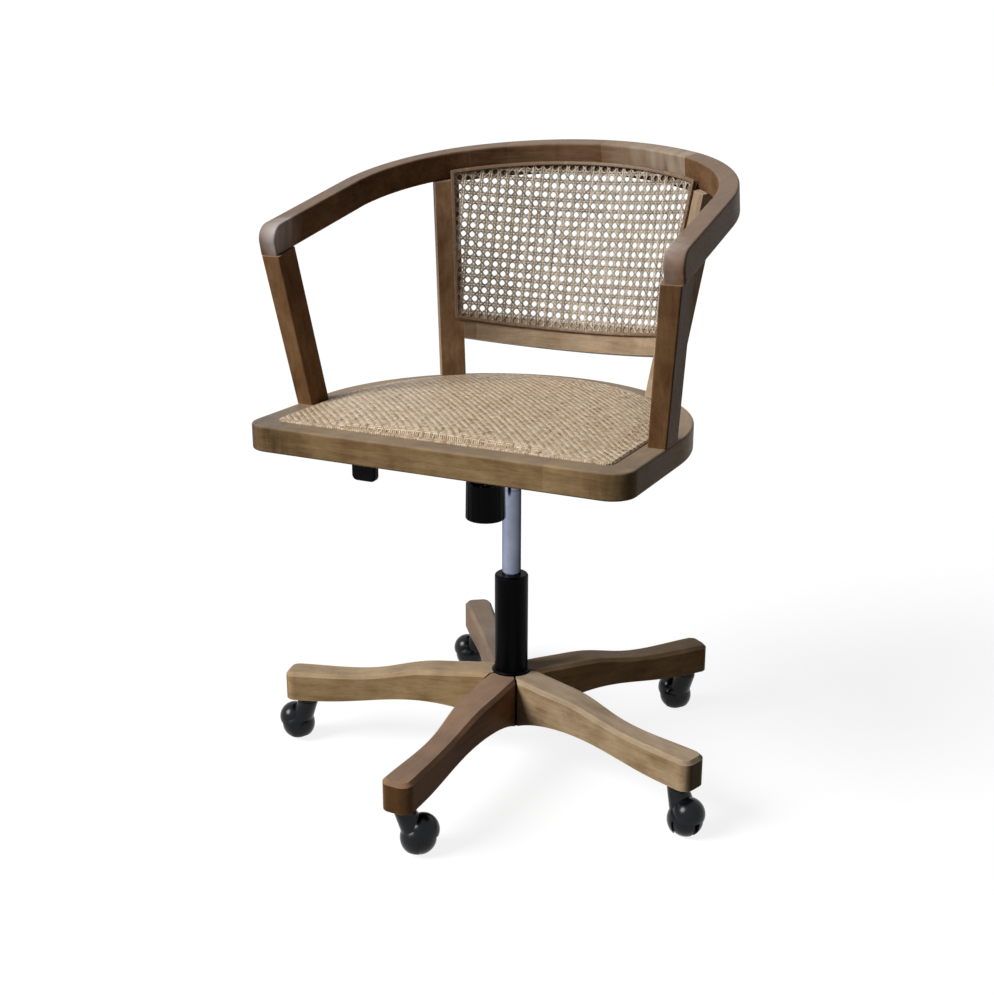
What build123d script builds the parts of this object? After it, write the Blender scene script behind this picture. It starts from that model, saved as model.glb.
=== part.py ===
"""Swivel office armchair: cane back, woven seat pad and a five-leg wooden base on casters.

Millimetres, +Z up. The chair faces -Y and the origin is on the floor under the column's axis.
"""

import os
from math import atan, atan2, cos, degrees, hypot, pi, radians, sin, sqrt, tan

from build123d import *

os.makedirs("parts", exist_ok=True)

# Fits
running_gap = 0.3
seat_gap = 0.1
LOWER = (Align.CENTER, Align.CENTER, Align.MIN)
UPPER = (Align.CENTER, Align.CENTER, Align.MAX)

# Casters
wheel_diameter = 48.0
wheel_spacing = 8.0
wheel_gap = 0.7
hood_wall = 1.7
hood_web = 6.0
caster_trail = 18.5
caster_neck_diameter = 31.0
caster_neck_height = 10.0
brim_reach = 4.0
brim_drop = 5.0
visor_trim = 3.4
visor_rise = 11.0
neck_ring = 0.9
cheek_drop = 15.0
axle_diameter = 6.0
axle_boss = 15.0
axle_inset = 3.0
stem_diameter = 11.0
stem_length = 58.0
stem_insert = 22.0
socket_wall = 1.6
socket_length = 38.0
socket_flange = 24.0
socket_flange_thickness = 1.4
caster_directions = {270: 27, 342: 330, 54: 167, 126: 185, 198: 190}

# Legs
leg_reach = 352.0
caster_inset = 30.0
leg_tip_under = 74.0
leg_tip_height = 44.0
leg_waist_rise = 6.0
leg_shoulder_height = 137.0
leg_hub_top = 140.0
leg_hub_under = 66.0
leg_arch_under = 87.0
leg_hub_half_width = 25.0
leg_waist_half_width = 20.0
leg_tip_half_width = 22.5
leg_tip_rounding = 15.0
leg_edge_chamfer = 5.0
leg_slit = 3.6
leg_hub_overlap = 5.0
leg_shoulder_ease = 1.0
leg_neck_draw = 0.5
leg_tip_slope = 0.04
leg_arch_slope = 0.5
leg_waist_share = 0.57
leg_narrow_share = 0.55
leg_shoulder_share = 0.39
leg_arch_share = 0.34
leg_neck_share = 0.33
leg_crown_share = 0.27
leg_count = len(caster_directions)

# Column and gas spring
column_diameter = 50.0
column_wall = 2.5
column_top = 290.0
column_bottom = 63.0
column_taper = 1.0
column_end_plate = 3.0
hub_sleeve_wall = 3.0
hub_flange_diameter = 76.0
hub_flange_thickness = 2.8
hub_screw_circle = 33.0
hub_screw_spread = 12.0
hub_screw_diameter = 4.0
hub_screw_length = 24.0
hub_screw_head = 7.0
hub_screw_head_height = 2.4
base_ring_width = 4.0
base_ring_height = 4.0
bush_cap = 5.0
bush_cap_round = 3.5
bush_length = 80.0
chrome_diameter = 28.0
chrome_wall = 1.6
chrome_bottom = 196.0
chrome_groove_drop = 20.0
chrome_groove_width = 1.6
chrome_groove_depth = 0.8
chrome_taper_drop = 14.0
chrome_taper = 1.0
chrome_stand = 2.0
chrome_plug = 24.0
rod_diameter = 10.0
rod_below_plate = 5.0
piston_height = 12.0
gland_height = 16.0
bearing_height = 6.0
bearing_diameter = 24.0
collar_height = 4.0
collar_diameter = 17.0
clip_thickness = 2.0
clip_diameter = 19.0
button_diameter = 10.0
button_stand = 8.0
button_depth = 14.0
button_travel = 5.0

# Tilt mechanism
housing_half_width = 48.0
housing_front = -118.0
housing_rear = 62.0
housing_drop = 37.0
housing_wall = 3.0
housing_slope = 14.0
boss_diameter = 44.0
boss_drop = 32.0
boss_stand = 12.0
stop_length = 24.0
pivot_y = -36.0
pivot_rise = 27.0
pivot_diameter = 12.0
pivot_overhang = 2.5
ear_width = 40.0
ear_thickness = 3.0
seat_plate_thickness = 3.0
seat_plate_half_width = 85.0
seat_plate_front = -125.0
seat_plate_rear = 95.0
plate_screw_inset = 12.0
plate_screw_diameter = 6.0
plate_screw_head = 11.0
plate_screw_head_height = 4.0
plate_screw_bite = 9.0
bolt_y = -84.0
bolt_diameter = 10.0
bolt_collar_diameter = 18.0
bolt_collar_height = 6.0
bolt_slot_length = 30.0
bolt_slot_width = 14.0
bolt_slot_shift = 2.5
knob_drop = 72.5
knob_height = 53.0
knob_bottom_diameter = 57.0
knob_top_diameter = 55.0
knob_cup_diameter = 44.0
knob_floor = 12.0
knob_skin = 3.0
knob_ribs = 18
knob_rib_depth = 1.4
spring_wire = 4.5
spring_diameter = 34.0
spring_turns = 5

# Height lever
lever_pivot_x = -36.0
lever_rod = 9.0
lever_trunnion = 6.0
lever_ear = 3.0
lever_eye = 13.0
lever_eye_width = 15.0
lever_finger = 7.0
paddle_outer_x = -272.0
paddle_inner_x = -230.0
paddle_drop = 73.0
paddle_height = 50.0
paddle_thickness = 14.0
paddle_rounding = 9.0

# Seat
seat_top = 551.0
seat_width = 562.0
seat_front = -262.0
seat_arc_y = -69.0
seat_frame_height = 36.0
seat_corner = 34.0
seat_edge_round = 3.0
rim_width = 33.0
ledge_width = 25.0
ledge_depth = 18.0
board_thickness = 12.0
pad_crown = 18.0
pad_edge = 4.0
pad_edge_round = 4.0
pad_corner = 12.0
pad_centre_y = -40.0

# Posts
front_post_base_front = -129.0
front_post_base_depth = 44.0
front_post_base_width = 26.0
front_post_top_width = 29.0
front_post_lean = 0.164
front_post_splay = 0.103
rear_post_angle = 36.2
rear_post_width = 37.0
rear_post_depth = 30.0
rear_post_cut = 6.0
post_edge_round = 2.5
tenon_diameter = 12.0
tenon_length = 16.0
rear_foot_tenon = 12.0
rear_head_tenon = 16.0
post_overrun = 1.2

# Arm rail
rail_tilt = 13.1
rail_rise = 293.0
rail_overhang = 28.0
rail_toe = 2.2
rail_tip = -175.0
rail_arc_lead = 83.5
rail_arc_y = -80.5
rail_corner_lag = 39.0
rail_width = 28.0
rail_depth = 40.0
rail_joint_angle = 31.2
rail_tip_round = 22.0
rail_edge_round = 3.0
rail_joint_gap = 0.05

# Cane back
back_axis_y = -95.0
back_inset = 3.0
back_slope = 0.214
cane_thickness = 1.6
cane_half_angle = 35.2
cane_top_drop = 25.0
cane_bottom_rise = 89.0
cane_bottom_end_y = 147.0
lower_slope = 0.32
cane_columns = 12
cane_rows = 9
cane_open_share = 0.62
bead_width = 5.0
bead_height = 3.0
bead_round = 1.2
lower_rail_below = 27.0
lower_rail_above = 14.0
lower_rail_thickness = 22.0

# Shared places
seat_frame_bottom = seat_top - seat_frame_height
seat_half = seat_width / 2
rail_half_width = seat_half + rail_overhang
rail_arc_radius = seat_half + rail_arc_lead
rail_corner_radius = seat_half - rail_corner_lag
back_radius = seat_half - back_inset
ledge_z = seat_top - ledge_depth
board_top = ledge_z + board_thickness
plate_bottom = ledge_z - seat_plate_thickness
housing_bottom = seat_frame_bottom - housing_drop
boss_bottom = housing_bottom - boss_drop
boss_top = housing_bottom + boss_stand
pivot_z = housing_bottom + pivot_rise
lever_pivot_z = pivot_z
knob_bottom = housing_bottom - knob_drop
paddle_bottom = housing_bottom - paddle_drop
chrome_top = boss_top + chrome_stand
chrome_groove = boss_bottom - chrome_groove_drop
chrome_taper_start = boss_bottom - chrome_taper_drop
rail_height_at_axis = seat_top + rail_rise
cane_bottom_end_z = seat_top + cane_bottom_rise
caster_circle = leg_reach - caster_inset
column_radius = column_diameter / 2
chrome_radius = chrome_diameter / 2
rod_radius = rod_diameter / 2
hub_sleeve_radius = column_radius + seat_gap + hub_sleeve_wall
wheel_radius = wheel_diameter / 2
cavity_radius = wheel_radius + wheel_gap
hood_radius = cavity_radius + hood_wall
neck_top = leg_tip_under - socket_flange_thickness - running_gap
stem_bottom = neck_top - stem_insert


def column_outer(z):
    """Outer radius of the column tube, tapered inside the hub."""
    if z >= leg_hub_top:
        return column_radius
    return column_radius - column_taper * (leg_hub_top - z) / (leg_hub_top - column_bottom)


def chrome_outer(z):
    """Outer radius of the chrome tube, tapered inside the housing's boss."""
    if z <= chrome_taper_start:
        return chrome_radius
    return chrome_radius - chrome_taper * (z - chrome_taper_start) / (chrome_top - chrome_taper_start)


def back_radius_at(z):
    """Radius of the conical back at a height, about the back's own upright axis."""
    return back_radius + back_slope * (z - seat_top)


def upright_profile(points):
    """Closed outline of radius and height, drawn in the plane of the X and Z axes."""
    with BuildSketch(Plane.XZ) as profile:
        with BuildLine():
            Polyline(*points, close=True)
        make_face()
    return profile.sketch


def ring_outline(inner, outer, bottom, height):
    """Corners of a plain ring's section."""
    return [(inner, bottom), (outer, bottom), (outer, bottom + height), (inner, bottom + height)]


def round_place(place, height):
    """Point at a radius and an angle in degrees about the column's axis."""
    radius, angle = place
    return (radius * cos(radians(angle)), radius * sin(radians(angle)), height)


# Rail and cane planes
rail_plane = Plane(
    origin=(0, 0, rail_height_at_axis),
    x_dir=(1, 0, 0),
    z_dir=(0, -sin(radians(rail_tilt)), cos(radians(rail_tilt))),
)
rail_under = rail_plane.offset(-rail_depth)
cane_top_plane = rail_plane.offset(-cane_top_drop)
lower_tilt = atan(lower_slope)
cane_bottom_plane = Plane(
    origin=(0, cane_bottom_end_y, cane_bottom_end_z),
    x_dir=(1, 0, 0),
    z_dir=(0, sin(lower_tilt), cos(lower_tilt)),
)
back_axis = Axis((0, back_axis_y, 0), (0, 0, 1))


# Legs, named by number from the one that points forward
def leg_outline_top(side):
    """Upper edge of a leg's side view: low tip, waist, S-curve up to the hub."""
    tip_top = leg_tip_under + leg_tip_height
    waist = tip_top + leg_waist_rise
    Spline(
        (leg_reach, tip_top),
        (leg_waist_share * leg_reach, waist),
        (leg_shoulder_share * leg_reach, leg_shoulder_height - leg_shoulder_ease),
        (leg_crown_share * leg_reach, leg_shoulder_height + leg_shoulder_ease),
        (side, leg_hub_top),
        tangents=((-1, leg_tip_slope), (-1, 0)),
    )


leg_angles = list(caster_directions)
half_sector = pi / leg_count
hub_inner = column_radius - leg_hub_overlap
leg_pad_inner = caster_circle - socket_flange / 2
for number, angle in enumerate(leg_angles, start=1):
    plan = Plane.XY.rotated((0, 0, angle))
    side_view = Plane(origin=(0, 0, 0), x_dir=plan.x_dir, z_dir=-plan.y_dir)
    mitre_back = leg_slit / 2 / cos(half_sector)
    mitre_corner = (leg_hub_half_width + mitre_back) / tan(half_sector)
    mitre_start = hub_inner * tan(half_sector) - mitre_back
    hub_foot = hub_flange_diameter / 2
    with BuildPart() as leg:
        with BuildSketch(side_view):
            with BuildLine():
                Line((hub_inner, leg_hub_top), (hub_inner, leg_hub_under))
                Line((hub_inner, leg_hub_under), (hub_foot, leg_hub_under))
                Spline(
                    (hub_foot, leg_hub_under),
                    (leg_arch_share * leg_reach, leg_arch_under),
                    (leg_pad_inner, leg_tip_under),
                    tangents=((1, leg_arch_slope), (1, 0)),
                )
                Line((leg_pad_inner, leg_tip_under), (leg_reach, leg_tip_under))
                Line((leg_reach, leg_tip_under), (leg_reach, leg_tip_under + leg_tip_height))
                leg_outline_top(hub_inner)
            make_face()
        extrude(amount=leg_hub_half_width + leg_tip_half_width, both=True)
        with BuildSketch(plan) as plan_view:
            with BuildLine():
                Line((hub_inner, 0), (hub_inner, mitre_start))
                Line((hub_inner, mitre_start), (mitre_corner, leg_hub_half_width))
                Spline(
                    (mitre_corner, leg_hub_half_width),
                    (leg_neck_share * leg_reach, leg_hub_half_width - leg_neck_draw),
                    (leg_narrow_share * leg_reach, leg_waist_half_width),
                    (leg_reach, leg_tip_half_width),
                    tangents=((1, 0), (1, 0)),
                )
                Line((leg_reach, leg_tip_half_width), (leg_reach, 0))
                Line((leg_reach, 0), (hub_inner, 0))
            make_face()
            mirror(about=Plane.XZ)
            tip_corners = plan_view.vertices().group_by(Axis.X)[-1]
            fillet(tip_corners, leg_tip_rounding)
        extrude(amount=leg_hub_top + leg_tip_height, mode=Mode.INTERSECT)
        top_face = leg.faces().sort_by(lambda face: face.normal_at().Z)[-1]
        long_edges = top_face.edges().filter_by(lambda edge: edge.length < 2 * leg_reach)
        outer_edges = long_edges.filter_by(
            lambda edge: hypot(edge.center().X, edge.center().Y) > mitre_corner
        )
        chamfer(outer_edges, leg_edge_chamfer)
        Cylinder(hub_sleeve_radius + running_gap, 3 * leg_hub_top, mode=Mode.SUBTRACT)
        with Locations(round_place((caster_circle, angle), leg_tip_under)):
            Cylinder(
                stem_diameter / 2 + socket_wall + seat_gap,
                2 * (socket_length + seat_gap),
                mode=Mode.SUBTRACT,
            )
        screw_places = [(hub_screw_circle, angle + side * hub_screw_spread) for side in (-1, 1)]
        with Locations(*[round_place(place, leg_hub_under) for place in screw_places]):
            Cylinder(hub_screw_diameter / 2 + seat_gap, 2 * hub_screw_length, mode=Mode.SUBTRACT)
    leg.part.label = f"leg_{number}"
    export_step(leg.part, f"parts/leg_{number}.step")


# Hub: a steel sleeve with a round flange that the legs are screwed to from below
sleeve_bottom = leg_hub_under - hub_flange_thickness
sleeve_outline = [
    (column_outer(sleeve_bottom) + seat_gap, sleeve_bottom),
    (hub_flange_diameter / 2, sleeve_bottom),
    (hub_flange_diameter / 2, leg_hub_under),
    (hub_sleeve_radius, leg_hub_under),
    (hub_sleeve_radius, leg_hub_top),
    (column_outer(leg_hub_top) + seat_gap, leg_hub_top),
]
hub_screw_places = [
    (hub_screw_circle, angle + side * hub_screw_spread) for angle in leg_angles for side in (-1, 1)
]
with BuildPart() as hub_socket:
    revolve(upright_profile(sleeve_outline), axis=Axis.Z)
    with Locations(*[round_place(place, leg_hub_under) for place in hub_screw_places]):
        Cylinder(hub_screw_diameter / 2 + seat_gap, 3 * hub_flange_thickness, mode=Mode.SUBTRACT)
hub_socket.part.label = "hub_socket"
export_step(hub_socket.part, "parts/hub_socket.step")

with BuildPart() as leg_screws:
    with Locations(*[round_place(place, sleeve_bottom) for place in hub_screw_places]):
        Cylinder(hub_screw_diameter / 2, hub_screw_length, align=LOWER)
        Cylinder(hub_screw_head / 2, hub_screw_head_height, align=UPPER)
leg_screws.part.label = "leg_screws"
export_step(leg_screws.part, "parts/leg_screws.step")

# Ring that hides the joint between the column and the tops of the legs
ring_inner = column_radius + seat_gap
with BuildPart() as base_ring:
    revolve(
        upright_profile(
            [
                (ring_inner, leg_hub_top),
                (ring_inner + base_ring_width, leg_hub_top),
                (ring_inner + base_ring_width, leg_hub_top + base_ring_height / 2),
                (ring_inner + base_ring_width / 2, leg_hub_top + base_ring_height),
                (ring_inner, leg_hub_top + base_ring_height),
            ]
        ),
        axis=Axis.Z,
    )
base_ring.part.label = "base_ring"
export_step(base_ring.part, "parts/base_ring.step")

# Column tube with its end plate, tapered where it sits in the hub
column_bore = column_radius - column_wall
with BuildPart() as column_tube:
    revolve(
        upright_profile(
            [
                (rod_radius + running_gap, column_bottom),
                (column_outer(column_bottom), column_bottom),
                (column_radius, leg_hub_top),
                (column_radius, column_top),
                (column_bore, column_top),
                (column_bore, column_top - bush_length),
                (column_bore - column_taper, column_bottom + column_end_plate),
                (rod_radius + running_gap, column_bottom + column_end_plate),
            ]
        ),
        axis=Axis.Z,
    )
column_tube.part.label = "column_tube"
export_step(column_tube.part, "parts/column_tube.step")

# Guide bush: the chrome tube slides in it and its rounded cap closes the column
bush_bore = chrome_radius + running_gap / 2
with BuildPart() as guide_bush:
    revolve(
        upright_profile(
            [
                (bush_bore, column_top - bush_length),
                (column_bore - seat_gap, column_top - bush_length),
                (column_bore - seat_gap, column_top),
                (column_radius, column_top),
                (column_radius, column_top + bush_cap),
                (bush_bore, column_top + bush_cap),
            ]
        ),
        axis=Axis.Z,
    )
    cap_edge = guide_bush.edges().group_by(Axis.Z)[-1].sort_by(SortBy.LENGTH)[-1]
    fillet(cap_edge, bush_cap_round)
guide_bush.part.label = "guide_bush"
export_step(guide_bush.part, "parts/guide_bush.step")

# Thrust bearing on the column's end plate, which carries the rod's collar
plate_top = column_bottom + column_end_plate
with BuildPart() as thrust_bearing:
    revolve(
        upright_profile(
            ring_outline(rod_radius + running_gap, bearing_diameter / 2, plate_top, bearing_height)
        ),
        axis=Axis.Z,
    )
    with BuildSketch(Plane.XZ):
        with Locations((bearing_diameter / 2, plate_top + bearing_height / 2)):
            Circle(bearing_height / 5)
    revolve(axis=Axis.Z, mode=Mode.SUBTRACT)
thrust_bearing.part.label = "thrust_bearing"
export_step(thrust_bearing.part, "parts/thrust_bearing.step")

# Gas spring: the rod stands on the bearing, its piston is inside the chrome tube
collar_bottom = plate_top + bearing_height + running_gap
rod_bottom = column_bottom - rod_below_plate
piston_bottom = chrome_bottom + gland_height + running_gap
with BuildPart() as piston_rod:
    revolve(
        upright_profile(
            [
                (0, rod_bottom),
                (rod_radius, rod_bottom),
                (rod_radius, collar_bottom),
                (collar_diameter / 2, collar_bottom),
                (collar_diameter / 2, collar_bottom + collar_height),
                (rod_radius, collar_bottom + collar_height),
                (rod_radius, piston_bottom),
                (0, piston_bottom),
            ]
        ),
        axis=Axis.Z,
    )
piston_rod.part.label = "piston_rod"
export_step(piston_rod.part, "parts/piston_rod.step")

chrome_bore = chrome_radius - chrome_wall
with BuildPart() as piston:
    revolve(
        upright_profile(ring_outline(0, chrome_bore - running_gap / 2, piston_bottom, piston_height)),
        axis=Axis.Z,
    )
    chamfer(piston.edges().filter_by(GeomType.CIRCLE), piston_height / 12)
piston.part.label = "piston"
export_step(piston.part, "parts/piston.step")

with BuildPart() as retaining_clip:
    clip_top = column_bottom - running_gap
    clip_bore = rod_radius + seat_gap / 2
    clip_outline = ring_outline(clip_bore, clip_diameter / 2, clip_top - clip_thickness, clip_thickness)
    revolve(upright_profile(clip_outline), axis=Axis.Z)
    with Locations((clip_diameter / 2, 0, clip_top)):
        Box(clip_diameter, rod_radius, 3 * clip_thickness, mode=Mode.SUBTRACT)
retaining_clip.part.label = "retaining_clip"
export_step(retaining_clip.part, "parts/retaining_clip.step")

# Chrome pressure tube, with the dark ring groove below its taper
button_bore = button_diameter / 2 + running_gap
with BuildPart() as pressure_tube:
    revolve(
        upright_profile(
            [
                (chrome_bore, chrome_bottom),
                (chrome_radius, chrome_bottom),
                (chrome_radius, chrome_groove),
                (chrome_radius - chrome_groove_depth, chrome_groove),
                (chrome_radius - chrome_groove_depth, chrome_groove + chrome_groove_width),
                (chrome_radius, chrome_groove + chrome_groove_width),
                (chrome_radius, chrome_taper_start),
                (chrome_outer(chrome_top), chrome_top),
                (button_bore, chrome_top),
                (button_bore, chrome_top - button_depth - button_travel),
                (0, chrome_top - button_depth - button_travel),
                (0, chrome_top - chrome_plug),
                (chrome_bore - chrome_taper, chrome_top - chrome_plug),
                (chrome_bore, chrome_taper_start),
            ]
        ),
        axis=Axis.Z,
    )
pressure_tube.part.label = "pressure_tube"
export_step(pressure_tube.part, "parts/pressure_tube.step")

with BuildPart() as rod_gland:
    gland_bore = rod_radius + running_gap / 2
    gland_outline = ring_outline(gland_bore, chrome_bore - seat_gap / 2, chrome_bottom, gland_height)
    revolve(upright_profile(gland_outline), axis=Axis.Z)
rod_gland.part.label = "rod_gland"
export_step(rod_gland.part, "parts/rod_gland.step")

button_top = chrome_top + button_stand
with BuildPart() as release_button:
    revolve(
        upright_profile(
            ring_outline(0, button_diameter / 2, chrome_top - button_depth, button_depth + button_stand)
        ),
        axis=Axis.Z,
    )
    fillet(release_button.edges().group_by(Axis.Z)[-1], button_diameter / 8)
release_button.part.label = "release_button"
export_step(release_button.part, "parts/release_button.step")

# Tilt housing: a pressed channel, lower at the back so that the seat can lean
stop_top = plate_bottom - running_gap
wall_rear_top = stop_top - (housing_rear - pivot_y) * tan(radians(housing_slope))
housing_inner = housing_half_width - housing_wall
housing_side = Plane(origin=(0, 0, 0), x_dir=(0, 1, 0), z_dir=(1, 0, 0))
ear_gap_half = lever_eye_width / 2 + running_gap
with BuildPart() as tilt_housing:
    with BuildSketch(housing_side):
        with BuildLine():
            Polyline(
                (housing_front, housing_bottom),
                (housing_rear, housing_bottom),
                (housing_rear, wall_rear_top),
                (pivot_y, stop_top - housing_wall),
                (housing_front + stop_length, stop_top - housing_wall),
                (housing_front + stop_length, stop_top),
                (housing_front, stop_top),
                close=True,
            )
        make_face()
    extrude(amount=housing_half_width, both=True)
    outer_uprights = tilt_housing.edges().filter_by(Axis.Z)
    fillet(outer_uprights.group_by(Axis.Y)[0] + outer_uprights.group_by(Axis.Y)[-1], 2 * housing_wall)
    with BuildSketch(Plane.XY.offset(housing_bottom + housing_wall)) as hollow:
        with Locations((0, (housing_front + housing_rear) / 2)):
            Rectangle(2 * housing_inner, housing_rear - housing_front - 2 * housing_wall)
        fillet(hollow.vertices(), housing_wall)
    extrude(amount=stop_top - housing_bottom, mode=Mode.SUBTRACT)
    with Locations((0, 0, boss_bottom)):
        Cylinder(boss_diameter / 2, boss_top - boss_bottom, align=LOWER)
    with Locations((lever_pivot_x, 0, housing_bottom)):
        Box(lever_eye, 2 * (ear_gap_half + lever_ear), pivot_rise + lever_trunnion, align=LOWER)
    with Locations((lever_pivot_x, 0, housing_bottom + housing_wall)):
        Box(2 * lever_eye, 2 * ear_gap_half, lever_pivot_z, align=LOWER, mode=Mode.SUBTRACT)
    with Locations(Plane(origin=(lever_pivot_x, 0, lever_pivot_z), z_dir=(0, 1, 0))):
        Cylinder(lever_trunnion / 2 + running_gap, 4 * lever_eye_width, mode=Mode.SUBTRACT)
    with Locations(Plane(origin=(0, pivot_y, pivot_z), z_dir=(1, 0, 0))):
        Cylinder(pivot_diameter / 2 + seat_gap, 4 * housing_half_width, mode=Mode.SUBTRACT)
    with Locations((-housing_half_width, 0, lever_pivot_z)):
        Box(4 * housing_wall, 2 * lever_rod, 5 * lever_rod, mode=Mode.SUBTRACT)
    with BuildSketch(Plane.XY.offset(housing_bottom - housing_wall)):
        with Locations((0, bolt_y - bolt_slot_shift)):
            SlotOverall(bolt_slot_length, bolt_slot_width, rotation=90)
    extrude(amount=4 * housing_wall, mode=Mode.SUBTRACT)
    bore_gap = seat_gap / 2
    revolve(
        upright_profile(
            [
                (0, boss_bottom - housing_wall),
                (chrome_outer(boss_bottom) + bore_gap, boss_bottom - housing_wall),
                (chrome_outer(boss_bottom) + bore_gap, boss_bottom),
                (chrome_outer(chrome_top) + bore_gap, chrome_top),
                (0, chrome_top),
            ]
        ),
        axis=Axis.Z,
        mode=Mode.SUBTRACT,
    )
tilt_housing.part.label = "tilt_housing"
export_step(tilt_housing.part, "parts/tilt_housing.step")

ear_inner = housing_half_width + running_gap
with BuildPart() as pivot_pin:
    with Locations(Plane(origin=(0, pivot_y, pivot_z), z_dir=(1, 0, 0))):
        Cylinder(pivot_diameter / 2, 2 * (ear_inner + ear_thickness + pivot_overhang))
    chamfer(pivot_pin.edges().filter_by(GeomType.CIRCLE), pivot_overhang / 3)
pivot_pin.part.label = "pivot_pin"
export_step(pivot_pin.part, "parts/pivot_pin.step")

# Seat plate with two ears that hang on the pivot pin
plate_screw_places = [
    (x, y, ledge_z - seat_plate_thickness)
    for x in (-seat_plate_half_width + plate_screw_inset, seat_plate_half_width - plate_screw_inset)
    for y in (seat_plate_front + plate_screw_inset, seat_plate_rear - plate_screw_inset)
]
with BuildPart() as seat_plate:
    with BuildSketch(Plane.XY.offset(plate_bottom)):
        with Locations((0, (seat_plate_front + seat_plate_rear) / 2)):
            RectangleRounded(2 * seat_plate_half_width, seat_plate_rear - seat_plate_front, plate_screw_inset)
    extrude(amount=seat_plate_thickness)
    for side in (-1, 1):
        ear_face = Plane(origin=(side * ear_inner, pivot_y, 0), x_dir=(0, side, 0), z_dir=(side, 0, 0))
        with BuildSketch(ear_face):
            with BuildLine():
                Polyline(
                    (ear_width / 2, pivot_z),
                    (ear_width / 2, plate_bottom),
                    (-ear_width / 2, plate_bottom),
                    (-ear_width / 2, pivot_z),
                )
                ThreePointArc(
                    (-ear_width / 2, pivot_z),
                    (0, pivot_z - ear_width / 2),
                    (ear_width / 2, pivot_z),
                )
            make_face()
        extrude(amount=ear_thickness)
    with Locations(Plane(origin=(0, pivot_y, pivot_z), z_dir=(1, 0, 0))):
        Cylinder(pivot_diameter / 2 + running_gap / 2, 4 * housing_half_width, mode=Mode.SUBTRACT)
    with Locations(*plate_screw_places):
        Cylinder(plate_screw_diameter / 2 + seat_gap, 4 * seat_plate_thickness, mode=Mode.SUBTRACT)
seat_plate.part.label = "seat_plate"
export_step(seat_plate.part, "parts/seat_plate.step")

with BuildPart() as plate_screws:
    with Locations(*plate_screw_places):
        Cylinder(plate_screw_head / 2, plate_screw_head_height, align=UPPER)
        Cylinder(plate_screw_diameter / 2, seat_plate_thickness + plate_screw_bite, align=LOWER)
plate_screws.part.label = "plate_screws"
export_step(plate_screws.part, "parts/plate_screws.step")

# Tension bolt, spring and knob at the front of the mechanism
bolt_end = knob_bottom + knob_skin + running_gap
with BuildPart() as tension_bolt:
    with Locations((0, bolt_y, plate_bottom)):
        Cylinder(bolt_collar_diameter / 2, bolt_collar_height, align=UPPER)
        Cylinder(bolt_diameter / 2, plate_bottom - bolt_end, align=UPPER)
tension_bolt.part.label = "tension_bolt"
export_step(tension_bolt.part, "parts/tension_bolt.step")

knob_plane = Plane(origin=(0, bolt_y, knob_bottom))
with BuildPart() as tension_knob:
    with BuildSketch(knob_plane):
        Circle(knob_bottom_diameter / 2)
    with BuildSketch(knob_plane.offset(knob_height)):
        Circle(knob_top_diameter / 2)
    loft()
    fillet(tension_knob.edges().group_by(Axis.Z)[0], 2 * knob_rib_depth)
    with Locations(knob_plane):
        with PolarLocations(knob_bottom_diameter / 2 + knob_rib_depth, knob_ribs):
            Cylinder(2 * knob_rib_depth, 3 * knob_height, mode=Mode.SUBTRACT)
    with Locations(knob_plane.offset(knob_floor)):
        Cylinder(knob_cup_diameter / 2, knob_height, align=LOWER, mode=Mode.SUBTRACT)
    with Locations(knob_plane.offset(knob_skin)):
        Cylinder(bolt_diameter / 2 + running_gap, knob_height, align=LOWER, mode=Mode.SUBTRACT)
tension_knob.part.label = "tension_knob"
export_step(tension_knob.part, "parts/tension_knob.step")

spring_bottom = knob_bottom + knob_floor + running_gap + spring_wire / 2
spring_top = housing_bottom - running_gap - spring_wire / 2
spring_radius = spring_diameter / 2
spring_climb = (spring_top - spring_bottom) / (2 * pi * spring_turns)


def spring_point(turn):
    """Point on the spring's centre line after an angle in radians."""
    height = spring_bottom + spring_climb * turn
    return Vector(spring_radius * cos(turn), bolt_y + spring_radius * sin(turn), height)


def spring_heading(turn):
    """Direction of the spring's wire after an angle in radians."""
    return Vector(-spring_radius * sin(turn), spring_radius * cos(turn), spring_climb).normalized()


half_turns = 2 * spring_turns
with BuildPart() as tension_spring:
    with BuildLine() as spring_path:
        for half_turn in range(half_turns):
            start = spring_point(pi * half_turn)
            end = spring_point(pi * (half_turn + 1))
            leave = spring_heading(pi * half_turn)
            arrive = spring_heading(pi * (half_turn + 1))
            chord = end - start
            both = leave + arrive
            square = both.dot(both) - 4
            reach = (chord.dot(both) - sqrt(chord.dot(both) ** 2 - square * chord.dot(chord))) / square
            middle = (start + leave * reach + end - arrive * reach) * 0.5
            across = (end - arrive * reach) - (start + leave * reach)
            TangentArc(start, middle, tangent=leave)
            TangentArc(middle, end, tangent=across)
    with BuildSketch(Plane(origin=spring_point(0), z_dir=spring_heading(0))):
        Circle(spring_wire / 2)
    sweep(path=spring_path.line)
tension_spring.part.label = "tension_spring"
export_step(tension_spring.part, "parts/tension_spring.step")

# Least gap of the spring to itself, measured between points that lie over half a turn apart
points_per_turn = 48
spring_steps = spring_turns * points_per_turn
spring_points = [spring_point(2 * pi * step / points_per_turn) for step in range(spring_steps + 1)]
spring_gap = min(
    (far - near).length - spring_wire
    for place, near in enumerate(spring_points)
    for far in spring_points[place + points_per_turn // 2 :]
)
print("spring gap to itself", round(spring_gap, 2), "mm")

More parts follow.
